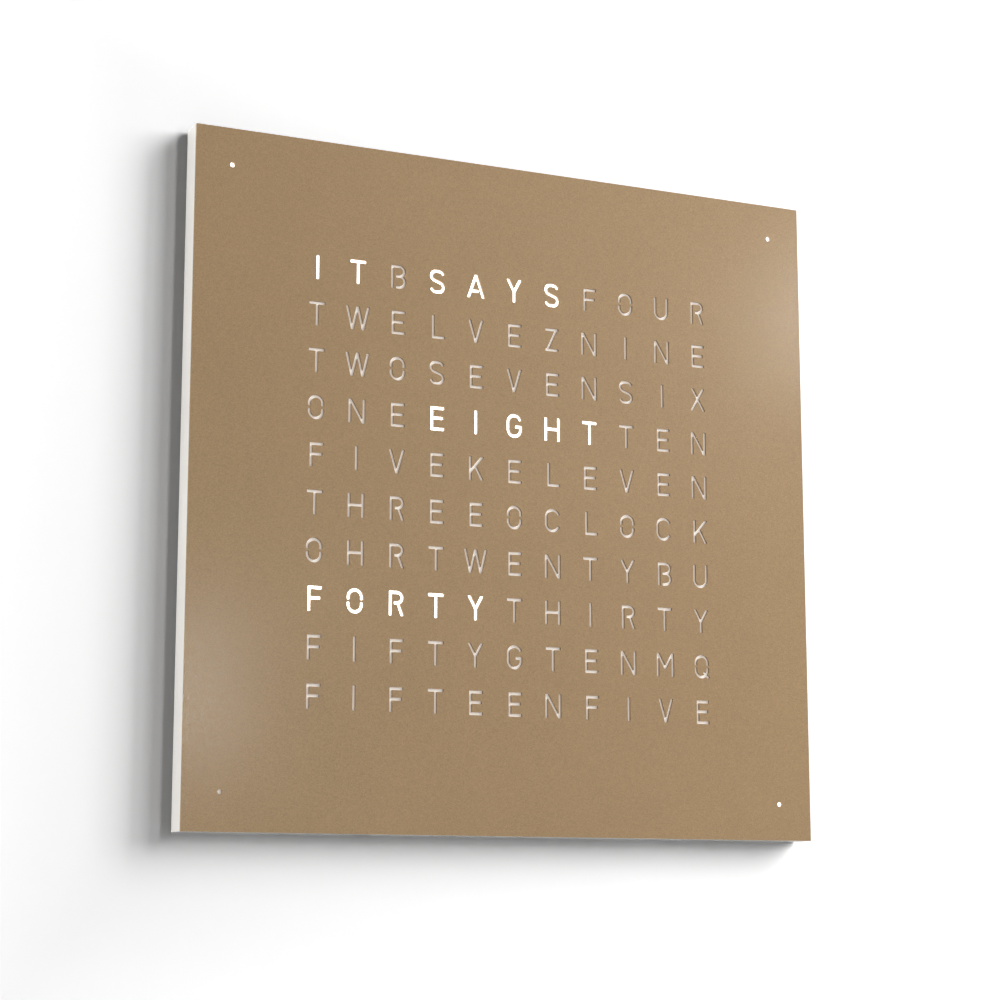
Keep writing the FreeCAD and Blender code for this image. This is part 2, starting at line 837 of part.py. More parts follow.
def rear_panel():
    """Sheet that closes the housing and carries every board."""
    p, half = PANEL_HALF, CHANNEL_WIDTH / 2
    notch = [
        (JACK_X - half, -p),
        (JACK_X - half, -WELL_HALF),
        (JACK_X + half, -WELL_HALF),
        (JACK_X + half, -p),
    ]
    outer = outline([(-p, -p)] + notch + [(p, -p), (p, p), (-p, p)], [0] * 8)
    holes = [keyhole(-HANGER_X), keyhole(HANGER_X)]
    holes += [circle(x, z, RIVET_R) for x, z in rivet_places()]
    holes += list(vent_wires())
    panel = sheet(outer, holes, PANEL_FRONT_Y, PANEL_T)
    sinks = [panel_screw_head(x, z, 0.1) for x, z in panel_screw_places()]
    return panel.cut(sinks)


def panel_screw_head(x, z, room):
    """Countersunk head, or with room its seat."""
    narrow, wide = SCREW_R + room, PANEL_SCREW_HEAD_R + room
    return Part.makeCone(narrow, wide, PANEL_T, Vector(x, PANEL_FRONT_Y, z), Vector(0, 1, 0))


def rear_panel_screws():
    made = []
    for x, z in panel_screw_places():
        shank = rod_y(x, z, SCREW_R, -PANEL_SCREW_DEPTH, PANEL_FRONT_Y)
        across = box(x - 1.9, x + 1.9, -0.7, 0, z - 0.35, z + 0.35)
        along = box(x - 0.35, x + 0.35, -0.7, 0, z - 1.9, z + 1.9)
        made.append(fuse([panel_screw_head(x, z, 0), shank]).cut([across, along]))
    return group(made)


def controller_board():
    half = JACK_WIDTH / 2 + 0.2
    notch = [
        (JACK_X - half, CONTROL_LOW),
        (JACK_X - half, JACK_HIGH + 0.2),
        (JACK_X + half, JACK_HIGH + 0.2),
        (JACK_X + half, CONTROL_LOW),
    ]
    right = [(CONTROL_RIGHT, CONTROL_LOW), (CONTROL_RIGHT, CONTROL_HIGH)]
    outer = outline([(CONTROL_LEFT, CONTROL_LOW)] + notch + right + [(CONTROL_LEFT, CONTROL_HIGH)], [0] * 8)
    holes = [circle(x, z, SCREW_HOLE_R) for x, z in control_screw_places()]
    return sheet(outer, holes, BOARD_FRONT_Y, BOARD_T)


def microcontroller():
    """Flat square chip with gull-wing pins on its four sides."""
    x, z, half, pins = -44.0, CONTROL_MID_Z, 5.0, 11
    body = box(x - half, x + half, BOARD_FRONT_Y - 1.5, BOARD_FRONT_Y - 0.1, z - half, z + half)
    feet = []
    for k in range(pins):
        offset = (k - (pins - 1) / 2) * 0.8
        for side in (-1, 1):
            inner, outer = side * (half - 0.1), side * (half + 1.0)
            lo, hi = min(inner, outer), max(inner, outer)
            feet.append(box(x + lo, x + hi, BOARD_FRONT_Y - 0.3, BOARD_FRONT_Y, z + offset - 0.2, z + offset + 0.2))
            feet.append(box(x + offset - 0.2, x + offset + 0.2, BOARD_FRONT_Y - 0.3, BOARD_FRONT_Y, z + lo, z + hi))
    return fuse([body] + feet)


def clock_crystal():
    """Oval metal can."""
    x, z, half, radius = -24.0, CONTROL_MID_Z, 3.3, 2.3
    can = rectangle(x - half - radius, x + half + radius, z - radius, z + radius, radius=radius * 0.98)
    base = rectangle(x - half - radius - 0.4, x + half + radius + 0.4, z - radius - 0.4, z + radius + 0.4, radius=2.6)
    return fuse([
        sheet(can, [], BOARD_FRONT_Y - 3.6, 3.2),
        sheet(base, [], BOARD_FRONT_Y - 0.4, 0.4),
    ])


CELL_X = 4.0
CELL_R = 10.0
CELL_T = 3.2


def coin_cell():
    y1 = BOARD_FRONT_Y - 1.0
    return rod_y(CELL_X, CONTROL_MID_Z, CELL_R, y1 - CELL_T, y1)


def coin_cell_holder():
    """Shallow tray with an open side to push the cell out."""
    wall = CELL_R + 1.9
    z = CONTROL_MID_Z
    tray = box(CELL_X - wall, CELL_X + wall, BOARD_FRONT_Y - 3.6, BOARD_FRONT_Y, z - wall, z + wall)
    seat = rod_y(CELL_X, z, CELL_R + 0.2, BOARD_FRONT_Y - 3.6, BOARD_FRONT_Y - 1.0)
    mouth = box(CELL_X - 5.0, CELL_X + 5.0, BOARD_FRONT_Y - 3.6, BOARD_FRONT_Y - 1.0, z, z + wall)
    return tray.cut([seat, mouth])


def voltage_regulator():
    """Power chip with its metal tab and two legs."""
    x, z = -74.0, CONTROL_MID_Z
    return fuse([
        box(x - 3.3, x + 3.3, BOARD_FRONT_Y - 2.3, BOARD_FRONT_Y, z - 3.1, z + 3.1),
        box(x - 2.6, x + 2.6, BOARD_FRONT_Y - 0.5, BOARD_FRONT_Y, z + 3.1, z + 4.7),
        box(x - 2.7, x - 1.9, BOARD_FRONT_Y - 0.6, BOARD_FRONT_Y, z - 5.8, z - 3.1),
        box(x + 1.9, x + 2.7, BOARD_FRONT_Y - 0.6, BOARD_FRONT_Y, z - 5.8, z - 3.1),
    ])


def capacitors():
    """Three round cans on square feet."""
    made = []
    for x, z in ((-88.0, -180.0), (-60.0, -180.0), (-60.0, -194.0)):
        foot = box(x - 3.3, x + 3.3, BOARD_FRONT_Y - 0.8, BOARD_FRONT_Y, z - 3.3, z + 3.3)
        made.append(fuse([foot, rod_y(x, z, 3.15, BOARD_FRONT_Y - 6.0, BOARD_FRONT_Y - 0.8)]))
    return group(made)


def power_jack():
    """Round socket for a barrel plug, facing down."""
    half_w, half_h = JACK_WIDTH / 2, JACK_HEIGHT / 2
    body = box(JACK_X - half_w, JACK_X + half_w, JACK_Y - half_h, JACK_Y + half_h, JACK_LOW, JACK_HIGH)
    return body.cut(rod_z(JACK_X, JACK_Y, JACK_BORE_R, JACK_LOW, JACK_LOW + JACK_BORE_DEPTH))


def power_jack_pin():
    top = JACK_LOW + JACK_BORE_DEPTH
    return rod_z(JACK_X, JACK_Y, JACK_PIN_R, JACK_LOW + 0.8, top)


RIBBON_X = (-40.0, -12.0)
RIBBON_TOP = -157.0
RIBBON_FOOT = -175.0


def ribbon_connectors():
    """One flat-cable connector on the back of the light board and one on the control board."""
    x0, x1 = RIBBON_X
    y0, y1 = BOARD_BACK_Y, BOARD_BACK_Y + 3.0
    upper = box(x0 - 2, x1 + 2, y0, y1, RIBBON_TOP, RIBBON_TOP + 4.5)
    lower = box(x0 - 2, x1 + 2, y0, y1, RIBBON_FOOT - 4.5, RIBBON_FOOT)
    return group([upper, lower])


def ribbon_cable():
    """Flat cable with a slight bow towards the panel between its two connectors."""
    x0, x1 = RIBBON_X
    y, thick, bow = BOARD_BACK_Y + 1.5, 0.3, 1.6
    middle = (RIBBON_TOP + RIBBON_FOOT) / 2

    def side(offset):
        return Part.Arc(
            Vector(x0, y + offset, RIBBON_TOP),
            Vector(x0, y + offset + bow, middle),
            Vector(x0, y + offset, RIBBON_FOOT),
        ).toShape()

    front, back = side(-thick / 2), side(thick / 2)
    top = Part.LineSegment(front.Vertexes[0].Point, back.Vertexes[0].Point).toShape()
    foot = Part.LineSegment(front.Vertexes[1].Point, back.Vertexes[1].Point).toShape()
    wire = Part.Wire(Part.__sortEdges__([front, foot, back, top]))
    return Part.Face(wire).extrude(Vector(x1 - x0, 0, 0))


def receiver_board():
    outer = rectangle(RECEIVER_LEFT, RECEIVER_RIGHT, RECEIVER_LOW, RECEIVER_HIGH, radius=1.5)
    holes = [circle(x, z, SCREW_HOLE_R) for x, z in receiver_screw_places()]
    return sheet(outer, holes, BOARD_FRONT_Y, BOARD_T)


def ferrite_rod():
    return rod_x(ROD_Y, ROD_Z, ROD_R, -ROD_HALF, ROD_HALF)


def antenna_coil():
    """Wound sleeve in the middle of the ferrite rod."""
    sleeve = rod_x(ROD_Y, ROD_Z, COIL_R, -COIL_HALF, COIL_HALF)
    return sleeve.cut(rod_x(ROD_Y, ROD_Z, ROD_R + 0.05, -COIL_HALF, COIL_HALF))


def antenna_clips():
    """Two posts on the rear panel that hold the rod."""
    made = []
    for side in (-1, 1):
        x0, x1 = side * CLIP_X - 2.5, side * CLIP_X + 2.5
        post = box(x0, x1, ROD_Y - 2.5, PANEL_FRONT_Y, ROD_Z - 6, ROD_Z + 6)
        made.append(post.cut(rod_x(ROD_Y, ROD_Z, ROD_R + 0.05, x0, x1)))
    return group(made)


def lead(name, points, radius):
    """Round lead along straight runs joined by tangent arcs."""
    knots = [Vector(*p) for p in points]
    edges, start, radii = [], knots[0], []
    for before, corner, after in zip(knots, knots[1:], knots[2:]):
        back, ahead = (before - corner), (after - corner)
        shorter = min(back.Length, ahead.Length)
        turn = math.pi - back.getAngle(ahead)
        reach = 0.45 * shorter
        bend_r = reach / math.tan(turn / 2)
        back.normalize()
        ahead.normalize()
        arc_start, arc_end = corner + back * reach, corner + ahead * reach
        inward = (back + ahead).normalize()
        middle = corner + inward * (bend_r / math.cos(turn / 2) - bend_r)
        edges.append(Part.LineSegment(start, arc_start).toShape())
        edges.append(Part.Arc(arc_start, middle, arc_end).toShape())
        start = arc_end
        radii.append(bend_r)
    edges.append(Part.LineSegment(start, knots[-1]).toShape())
    path = Part.Wire(edges)
    first = (knots[1] - knots[0]).normalize()
    profile = Part.Wire(Part.makeCircle(radius, knots[0], first))
    tube = path.makePipeShell([profile], True, False)
    solid = tube if tube.ShapeType == "Solid" else Part.Solid(tube)
    share = abs(solid.Volume) / (math.pi * radius ** 2 * path.Length)
    print(f"{name}: length {path.Length:.1f}, tightest radius {min(radii):.1f}, volume share {share:.4f}")
    return solid


def connector(x, z, y_board, width=8.0, height=5.0):
    """Small plug and header on the wall side of a board."""
    return box(x - width / 2, x + width / 2, y_board, y_board + CONNECTOR_T, z - height / 2, z + height / 2)


RECEIVER_PLUG_Z = 184.0
CONTROL_PLUG_X = 18.0
BUTTON_PLUG_Z = -192.0


def lead_connectors():
    """Plugs of the receiver lead and of the button lead, on their boards."""
    return group([
        connector(LEAD_X, RECEIVER_PLUG_Z, BOARD_BACK_Y),
        connector(CONTROL_PLUG_X, -176.0, BOARD_BACK_Y),
        connector(CONTROL_PLUG_X, BUTTON_PLUG_Z, BOARD_BACK_Y, 5.0, 8.0),
    ])


def receiver_lead():
    """Lead from the receiver down the rear panel to the control board."""
    y_plug = BOARD_BACK_Y + CONNECTOR_T / 2
    y_low = LEAD_BACK_Y
    return lead("receiver_lead", [
        (LEAD_X, y_plug, RECEIVER_PLUG_Z - 2.5),
        (LEAD_X, y_plug, 170.0),
        (LEAD_X, y_low, 145.0),
        (LEAD_X, y_low, -125.0),
        (CONTROL_PLUG_X + 16.0, y_low, -152.0),
        (CONTROL_PLUG_X, y_plug, -164.0),
        (CONTROL_PLUG_X, y_plug, -173.5),
    ], LEAD_R)


def lead_clips():
    """Low bridges that hold the receiver lead on the rear panel."""
    made = []
    for z in (120.0, 40.0, -40.0, -95.0):
        post = box(LEAD_X - 4, LEAD_X + 4, PANEL_FRONT_Y - 3.0, PANEL_FRONT_Y, z - 3, z + 3)
        made.append(post.cut(box(LEAD_X - 1.4, LEAD_X + 1.4, PANEL_FRONT_Y - 2.4, PANEL_FRONT_Y, z - 3, z + 3)))
    return group(made)


def antenna_lead():
    """Two coil ends, twisted into one thin lead, from the coil to the receiver."""
    y = ROD_Y + 3.7
    return lead("antenna_lead", [
        (COIL_HALF, y, ROD_Z - 3.0),
        (COIL_HALF + 3.0, y, ROD_Z - 3.0),
        (COIL_HALF + 5.0, y + 0.5, ROD_Z - 10.0),
        (RECEIVER_LEFT - 10.0, y + 1.0, ROD_Z - 10.0),
        (RECEIVER_LEFT + 2.0, BOARD_BACK_Y + THIN_LEAD_R, ROD_Z - 6.0),
    ], THIN_LEAD_R)


def button_board():
    left, right = BUTTON_X[0] - 10.0, BUTTON_X[-1] + 10.0
    outer = rectangle(left, right, -203.0, -187.5, radius=1.0)
    holes = [circle(x, z, SCREW_HOLE_R) for x, z in button_screw_places()]
    return sheet(outer, holes, BUTTON_BOARD_FRONT_Y, BOARD_T)


def tact_switch(x):
    """Sideways push switch with a round hole for its plunger."""
    half, y0 = SWITCH_WIDTH / 2, BUTTON_BOARD_FRONT_Y - SWITCH_T
    body = box(x - half, x + half, y0, BUTTON_BOARD_FRONT_Y, SWITCH_LOW, SWITCH_HIGH)
    return body.cut(rod_z(x, BUTTON_Y, PLUNGER_HOLE_R, SWITCH_LOW, PLUNGER_HOLE_TOP))


def switch_plunger(x):
    return rod_z(x, BUTTON_Y, PLUNGER_R, PLUNGER_LOW, PLUNGER_HIGH)


def button_cap(x):
    """Push button with a dished end, a flange that keeps it in the housing and a stem to the switch."""
    flange_top = BUTTON_SEAT_Z + BUTTON_FLANGE_T
    cap = fuse([
        rod_z(x, BUTTON_Y, BUTTON_R, -HALF, BUTTON_SEAT_Z),
        rod_z(x, BUTTON_Y, BUTTON_FLANGE_R, BUTTON_SEAT_Z, flange_top),
        rod_z(x, BUTTON_Y, BUTTON_STEM_R, flange_top, PLUNGER_LOW),
    ])
    dish_r = 14.0
    dish = Part.makeSphere(dish_r, Vector(x, BUTTON_Y, -HALF - dish_r + 0.35))
    return cap.cut(dish)


def button_lead():
    """Lead from the control board to the button board."""
    y_plug = BOARD_BACK_Y + CONNECTOR_T / 2
    return lead("button_lead", [
        (CONTROL_PLUG_X + 2.5, y_plug, BUTTON_PLUG_Z),
        (CONTROL_PLUG_X + 14.0, y_plug, BUTTON_PLUG_Z),
        (CONTROL_PLUG_X + 30.0, LEAD_BACK_Y - 0.6, BUTTON_PLUG_Z - 3.0),
        (CONTROL_PLUG_X + 48.0, LEAD_BACK_Y - 0.6, BUTTON_PLUG_Z - 3.5),
        (BUTTON_X[0] - 6.0, BUTTON_BOARD_FRONT_Y + BOARD_T + LEAD_R, BUTTON_PLUG_Z - 7.5),
    ], LEAD_R)


def minute_board(sx, sz):
    """Small square board behind a corner dot."""
    x0, x1 = sorted((sx * MINUTE_BOARD_IN, sx * MINUTE_BOARD_OUT))
    z0, z1 = sorted((sz * MINUTE_BOARD_IN, sz * MINUTE_BOARD_OUT))
    hole = circle(sx * MINUTE_SCREW_AT, sz * MINUTE_SCREW_AT, SCREW_HOLE_R)
    return sheet(rectangle(x0, x1, z0, z1), [hole], BOARD_FRONT_Y, BOARD_T)


def minute_tube(sx, sz):
    """White tube that leads a corner light to its dot."""
    x, z = sx * MINUTE_AT, sz * MINUTE_AT
    return sheet(circle(x, z, TUBE_R), [circle(x, z, TUBE_BORE_R)], DIFFUSER_BACK_Y, GRID_DEPTH)


def minute_leds():
    return group([
        block(sx * MINUTE_AT, sz * MINUTE_AT, MINUTE_LED_SIZE, BOARD_FRONT_Y) for _, sx, sz in corners()
    ])


def minute_leads():
    """One thin lead from each corner board to the light board."""
    y = BOARD_BACK_Y + THIN_LEAD_R
    made = []
    for name, sx, sz in corners():
        route = [(201.0, 191.5), (190.0, 181.0), (175.0, 163.0), (163.5, 148.0)]
        made.append(lead("minute_lead_" + name, [(sx * x, y, sz * z) for x, z in route], THIN_LEAD_R))
    return group(made)


def main():
    os.makedirs("parts", exist_ok=True)
    single = (
        front_cover,
        locating_pins,
        housing_frame,
        cover_magnets,
        diffuser_sheet,
        light_grid,
        led_board,
        letter_leds,
        light_sensor,
        led_driver_chips,
        board_standoffs,
        board_screws,
        rear_panel,
        rear_panel_screws,
        hanger_rivets,
        controller_board,
        microcontroller,
        clock_crystal,
        coin_cell_holder,
        coin_cell,
        voltage_regulator,
        capacitors,
        power_jack,
        power_jack_pin,
        ribbon_cable,
        ribbon_connectors,
        receiver_board,
        ferrite_rod,
        antenna_coil,
        antenna_clips,
        receiver_lead,
        antenna_lead,
        lead_connectors,
        lead_clips,
        button_board,
        button_lead,
        minute_leds,
        minute_leads,
    )
    for build in single:
        save(build.__name__, build())
    for side, word in ((-1, "left"), (1, "right")):
        save("hanger_plate_" + word, hanger_plate(side))
    for number, x in enumerate(BUTTON_X, start=1):
        save(f"button_cap_{number}", button_cap(x))
        save(f"switch_plunger_{number}", switch_plunger(x))
        save(f"tact_switch_{number}", tact_switch(x))
    for name, sx, sz in corners():
        save("minute_board_" + name, minute_board(sx, sz))
        save("minute_tube_" + name, minute_tube(sx, sz))


main()
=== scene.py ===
"""Word clock on a white wall: finishes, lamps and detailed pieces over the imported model."""

import logging
import math
from dataclasses import dataclass, field
from enum import Enum
from typing import Any, Iterable, Iterator

import bmesh
import bpy
from mathutils import Matrix, Vector


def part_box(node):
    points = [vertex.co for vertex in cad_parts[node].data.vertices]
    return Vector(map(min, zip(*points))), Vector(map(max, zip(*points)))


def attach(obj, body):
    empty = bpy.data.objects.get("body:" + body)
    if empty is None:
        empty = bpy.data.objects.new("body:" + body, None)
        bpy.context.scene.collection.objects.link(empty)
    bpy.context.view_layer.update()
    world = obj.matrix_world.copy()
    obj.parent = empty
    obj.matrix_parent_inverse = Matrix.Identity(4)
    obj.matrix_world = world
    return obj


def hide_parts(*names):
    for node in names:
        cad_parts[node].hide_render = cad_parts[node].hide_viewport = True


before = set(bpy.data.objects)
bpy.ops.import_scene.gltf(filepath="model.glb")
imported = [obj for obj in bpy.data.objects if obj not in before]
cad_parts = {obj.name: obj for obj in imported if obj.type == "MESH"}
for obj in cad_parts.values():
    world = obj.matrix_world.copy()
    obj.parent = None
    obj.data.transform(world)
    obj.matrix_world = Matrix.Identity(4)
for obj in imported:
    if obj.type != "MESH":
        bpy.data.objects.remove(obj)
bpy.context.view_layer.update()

MM = 0.001
LOG = logging.getLogger("word_clock")

Pair = tuple[float, float]
Point = tuple[float, float, float]
Colour = tuple[float, float, float]
Spot = tuple[float, float, bool]
Look = tuple[Any, Any, Any]


class Graph:
    """Adds and joins the nodes of one tree."""

    def __init__(self, tree: bpy.types.NodeTree) -> None:
        """Takes over an empty tree.

        Args:
            tree: the shader or geometry tree to fill.
        """
        self.tree = tree

    def node(self, kind: str, inputs: dict[Any, Any] | None = None, **settings: Any) -> bpy.types.Node:
        """Adds one node.

        Args:
            kind: the node's type name.
            inputs: values or sockets for its inputs, by name or number.
            settings: properties to set before the inputs.

        Returns:
            The new node.
        """
        made = self.tree.nodes.new(kind)
        for name, value in settings.items():
            setattr(made, name, value)
        for key, value in (inputs or {}).items():
            self.feed(made.inputs[key], value)
        return made

    def feed(self, socket: bpy.types.NodeSocket, value: Any) -> None:
        """Links a socket to a socket, or sets its value.

        Args:
            socket: the input to fill.
            value: a socket to link from, or a plain value.
        """
        if isinstance(value, bpy.types.NodeSocket):
            self.tree.links.new(value, socket)
        else:
            socket.default_value = value

    def math(self, operation: str, *terms: Any) -> bpy.types.NodeSocket:
        """Adds a Math node and returns its result."""
        return self.node("ShaderNodeMath", dict(enumerate(terms)), operation=operation).outputs[0]

    def vector(self, operation: str, *terms: Any) -> bpy.types.NodeSocket:
        """Adds a Vector Math node and returns its vector."""
        return self.node("ShaderNodeVectorMath", dict(enumerate(terms)), operation=operation).outputs[0]

    def scaled(self, vector: Any, factor: Any) -> bpy.types.NodeSocket:
        """Multiplies a vector or colour by a number."""
        made = self.node("ShaderNodeVectorMath", {0: vector, "Scale": factor}, operation="SCALE")
        return made.outputs[0]

    def mixed(self, factor: Any, first: Any, second: Any) -> bpy.types.NodeSocket:
        """Blends two colours by a factor. A Mix node's colours are its inputs 6 and 7 and its output 2."""
        inputs = {0: factor, 6: first, 7: second}
        return self.node("ShaderNodeMix", inputs, data_type="RGBA", clamp_factor=True).outputs[2]

    def ranged(self, value: Any, low: Any, high: Any, start: float = 0.0,
               end: float = 1.0) -> bpy.types.NodeSocket:
        """Maps a value from start..end to low..high."""
        inputs = {"Value": value, "From Min": start, "From Max": end, "To Min": low, "To Max": high}
        return self.node("ShaderNodeMapRange", inputs).outputs[0]

    def bump(self, height: Any, distance: float, under: Any = None) -> bpy.types.NodeSocket:
        """Turns a height into a normal.

        Args:
            height: the height, from 0 to 1.
            distance: how far a height of 1 stands out.
            under: the normal of a relief below this one, if there is one.

        Returns:
            The normal.
        """
        inputs = {"Height": height, "Strength": 1.0, "Distance": distance}
        if under is not None:
            inputs["Normal"] = under
        return self.node("ShaderNodeBump", inputs).outputs[0]


def rgba(colour: Colour) -> tuple[float, float, float, float]:
    """Adds full alpha to a linear colour."""
    return (*colour, 1.0)


def grey(level: float) -> tuple[float, float, float, float]:
    """Makes an opaque linear grey."""
    return rgba((level, level, level))


class Effect(Enum):
    """Surface patterns that several finishes share, each one a shader node group."""

    GRAIN = "grain"
    BRUSHED = "brushed"
    CELLS = "cells"
    MOTTLE = "mottle"


@dataclass(frozen=True)
class NoiseShape:
    """How fine a noise is, and the values of it that become fully dark and fully light."""

    detail: float
    roughness: float
    dark_at: float
    light_at: float


class EffectLibrary:
    """Builds each shared pattern once. Every group has the same sockets."""

    INPUTS = {"Position": "NodeSocketVector", "Colour": "NodeSocketColor",
              "Size": "NodeSocketFloat", "Contrast": "NodeSocketFloat"}
    OUTPUTS = {"Colour": "NodeSocketColor", "Tone": "NodeSocketFloat", "Height": "NodeSocketFloat"}
    NOISES = {
        Effect.GRAIN: NoiseShape(detail=2.0, roughness=0.5, dark_at=0.32, light_at=0.68),
        Effect.BRUSHED: NoiseShape(detail=4.0, roughness=0.5, dark_at=0.3, light_at=0.7),
        Effect.MOTTLE: NoiseShape(detail=4.0, roughness=0.6, dark_at=0.35, light_at=0.65),
    }
    BRUSH_STRETCH = (0.02, 1.0, 1.0)

    def __init__(self) -> None:
        """Starts with no group built."""
        self.built: dict[Effect, bpy.types.NodeTree] = {}

    def group(self, effect: Effect) -> bpy.types.NodeTree:
        """Looks up an effect, and builds it when it is first asked for.

        Args:
            effect: the effect.

        Returns:
            Its node group.
        """
        if effect not in self.built:
            self.built[effect] = self._build(effect)
        return self.built[effect]

    def _build(self, effect: Effect) -> bpy.types.NodeTree:
        """Makes the group of one effect, whose pattern darkens and lightens the given colour.

        Args:
            effect: the effect.

        Returns:
            The new node group.
        """
        tree = bpy.data.node_groups.new("effect_" + effect.value, "ShaderNodeTree")
        for way, sockets in (("INPUT", self.INPUTS), ("OUTPUT", self.OUTPUTS)):
            for name, kind in sockets.items():
                tree.interface.new_socket(name, in_out=way, socket_type=kind)
        graph = Graph(tree)
        given = graph.node("NodeGroupInput").outputs
        place = graph.scaled(given["Position"], graph.math("DIVIDE", 1.0, given["Size"]))
        tone, height = self._pattern(effect, graph, place)
        dark = graph.scaled(given["Colour"], graph.math("SUBTRACT", 1.0, given["Contrast"]))
        light = graph.scaled(given["Colour"], graph.math("ADD", 1.0, given["Contrast"]))
        colour = graph.mixed(tone, dark, light)
        graph.node("NodeGroupOutput", {"Colour": colour, "Tone": tone, "Height": height})
        return tree

    def _pattern(self, effect: Effect, graph: Graph, place: Any) -> tuple[Any, Any]:
        """Makes the pattern of one effect.

        Args:
            effect: the effect.
            graph: the group's tree.
            place: position, scaled so that one unit is the pattern's size.

        Returns:
            Its tone and its height.
        """
        if effect is Effect.CELLS:
            cell = graph.node("ShaderNodeTexVoronoi", {"Vector": place, "Scale": 1.0})
            channels = graph.node("ShaderNodeSeparateColor", {0: cell.outputs["Color"]})
            return channels.outputs[0], cell.outputs["Distance"]
        if effect is Effect.BRUSHED:
            place = graph.vector("MULTIPLY", place, self.BRUSH_STRETCH)
        shape = self.NOISES[effect]
        inputs = {"Vector": place, "Scale": 1.0, "Detail": shape.detail, "Roughness": shape.roughness}
        noise = graph.node("ShaderNodeTexNoise", inputs).outputs[0]
        tone = graph.ranged(noise, 0.0, 1.0, shape.dark_at, shape.light_at)
        height = tone if effect is Effect.BRUSHED else noise
        return tone, height


EFFECTS = EffectLibrary()


@dataclass(frozen=True)
class Finish:
    """One surface finish: a fine pattern, a slow mottle over it and a shader."""

    slot: str
    colour: Colour
    roughness: float = 0.5
    metallic: float = 0.0
    effect: Effect = Effect.GRAIN
    size: float = 0.5 * MM
    contrast: float = 0.05
    relief: float = 0.02 * MM
    gloss_change: float = 0.06
    fine_share: float = 0.6
    mottle_size: float = 30 * MM
    mottle: float = 0.03
    coat: float = 0.0

    def build(self) -> bpy.types.Material:
        """Makes the material.

        Returns:
            The material, named after its slot.
        """
        material = bpy.data.materials.new(self.slot)
        material.use_nodes = True
        tree = material.node_tree
        tree.nodes.clear()
        graph = Graph(tree)
        place = graph.node("ShaderNodeTexCoord").outputs["Object"]
        fine = self.effect_node(graph, self.effect, place, rgba(self.colour), self.size, self.contrast)
        slow = self.effect_node(graph, Effect.MOTTLE, place, fine.outputs["Colour"],
                                self.mottle_size, self.mottle)
        colour, rough, normal = self.surface(graph, place, fine, slow)
        shader = graph.node("ShaderNodeBsdfPrincipled", {
            "Base Color": colour,
            "Roughness": rough,
            "Metallic": self.metallic,
            "Normal": normal,
            "Coat Weight": self.coat,
        })
        self.extend(shader)
        graph.node("ShaderNodeOutputMaterial", {"Surface": shader.outputs[0]})
        return material

    def effect_node(self, graph: Graph, effect: Effect, place: Any, colour: Any,
                    size: float, contrast: float) -> bpy.types.Node:
        """Places a shared effect with the values given."""
        inputs = {"Position": place, "Colour": colour, "Size": size, "Contrast": contrast}
        return graph.node("ShaderNodeGroup", inputs, node_tree=EFFECTS.group(effect))

    def gloss(self, graph: Graph, tone: Any) -> bpy.types.NodeSocket:
        """Varies the roughness about its middle value with a tone."""
        return graph.ranged(tone, self.roughness - self.gloss_change, self.roughness + self.gloss_change)

    def surface(self, graph: Graph, place: Any, fine: bpy.types.Node, slow: bpy.types.Node) -> Look:
        """Joins the two patterns into colour, roughness and normal.

        Args:
            graph: the material's tree.
            place: position on the piece.
            fine: the finish's own effect.
            slow: the mottle over it.

        Returns:
            Sockets for colour, roughness and normal.
        """
        both = graph.math("ADD", graph.math("MULTIPLY", fine.outputs["Tone"], self.fine_share),
                          graph.math("MULTIPLY", slow.outputs["Tone"], 1.0 - self.fine_share))
        normal = graph.bump(fine.outputs["Height"], self.relief)
        return slow.outputs["Colour"], self.gloss(graph, both), normal

    def extend(self, shader: bpy.types.Node) -> None:
        """Adds to the shader what a special finish has beyond the plain one."""


@dataclass(frozen=True)
class BrushedMetal(Finish):
    """Bare metal with fine lines along its X axis."""

    metallic: float = 1.0
    effect: Effect = Effect.BRUSHED


@dataclass(frozen=True)
class PowderCoat(Finish):
    """Baked powder coat with fine metal flakes under a pebbled skin."""

    flake_size: float = 0.55 * MM
    flake_contrast: float = 0.12
    pebble_size: float = 0.9 * MM
    pebble: float = 0.03 * MM

    def surface(self, graph: Graph, place: Any, fine: bpy.types.Node, slow: bpy.types.Node) -> Look:
        """Adds flakes that differ in tone and gloss, and a second, coarser relief.

        Args:
            graph: the material's tree.
            place: position on the piece.
            fine: the finish's own effect.
            slow: the mottle over it.

        Returns:
            Sockets for colour, roughness and normal.
        """
        flakes = self.effect_node(graph, Effect.CELLS, place, slow.outputs["Colour"],
                                  self.flake_size, self.flake_contrast)
        pebbles = self.effect_node(graph, Effect.GRAIN, place, slow.outputs["Colour"], self.pebble_size, 0.0)
        coarse = graph.bump(pebbles.outputs["Height"], self.pebble)
        normal = graph.bump(flakes.outputs["Tone"], self.relief, coarse)
        return flakes.outputs["Colour"], self.gloss(graph, flakes.outputs["Tone"]), normal


@dataclass(frozen=True)
class Lacquer(Finish):
    """White lacquer whose colour is dimmed for bounced light, so that it paints deeper shade on the wall
    beside it.
    """

    # Share of the colour kept for bounced light; the cut is painted shade on the wall.
    bounce_share: float = 0.12

    def surface(self, graph: Graph, place: Any, fine: bpy.types.Node, slow: bpy.types.Node) -> Look:
        """Dims the colour for light that bounces on to other surfaces, as painted shade on the wall beside
        the clock.

        Args:
            graph: the material's tree.
            place: position on the piece.
            fine: the finish's own effect.
            slow: the mottle over it.

        Returns:
            Sockets for colour, roughness and normal.
        """
        colour, rough, normal = super().surface(graph, place, fine, slow)
        # Painted shade: light bounced off the lacquer is dimmed, so the wall beside the clock stays dark.
        bounced = graph.node("ShaderNodeLightPath").outputs["Is Diffuse Ray"]
        shade_bounce_colour = graph.scaled(colour, self.bounce_share)
        return graph.mixed(bounced, colour, shade_bounce_colour), rough, normal


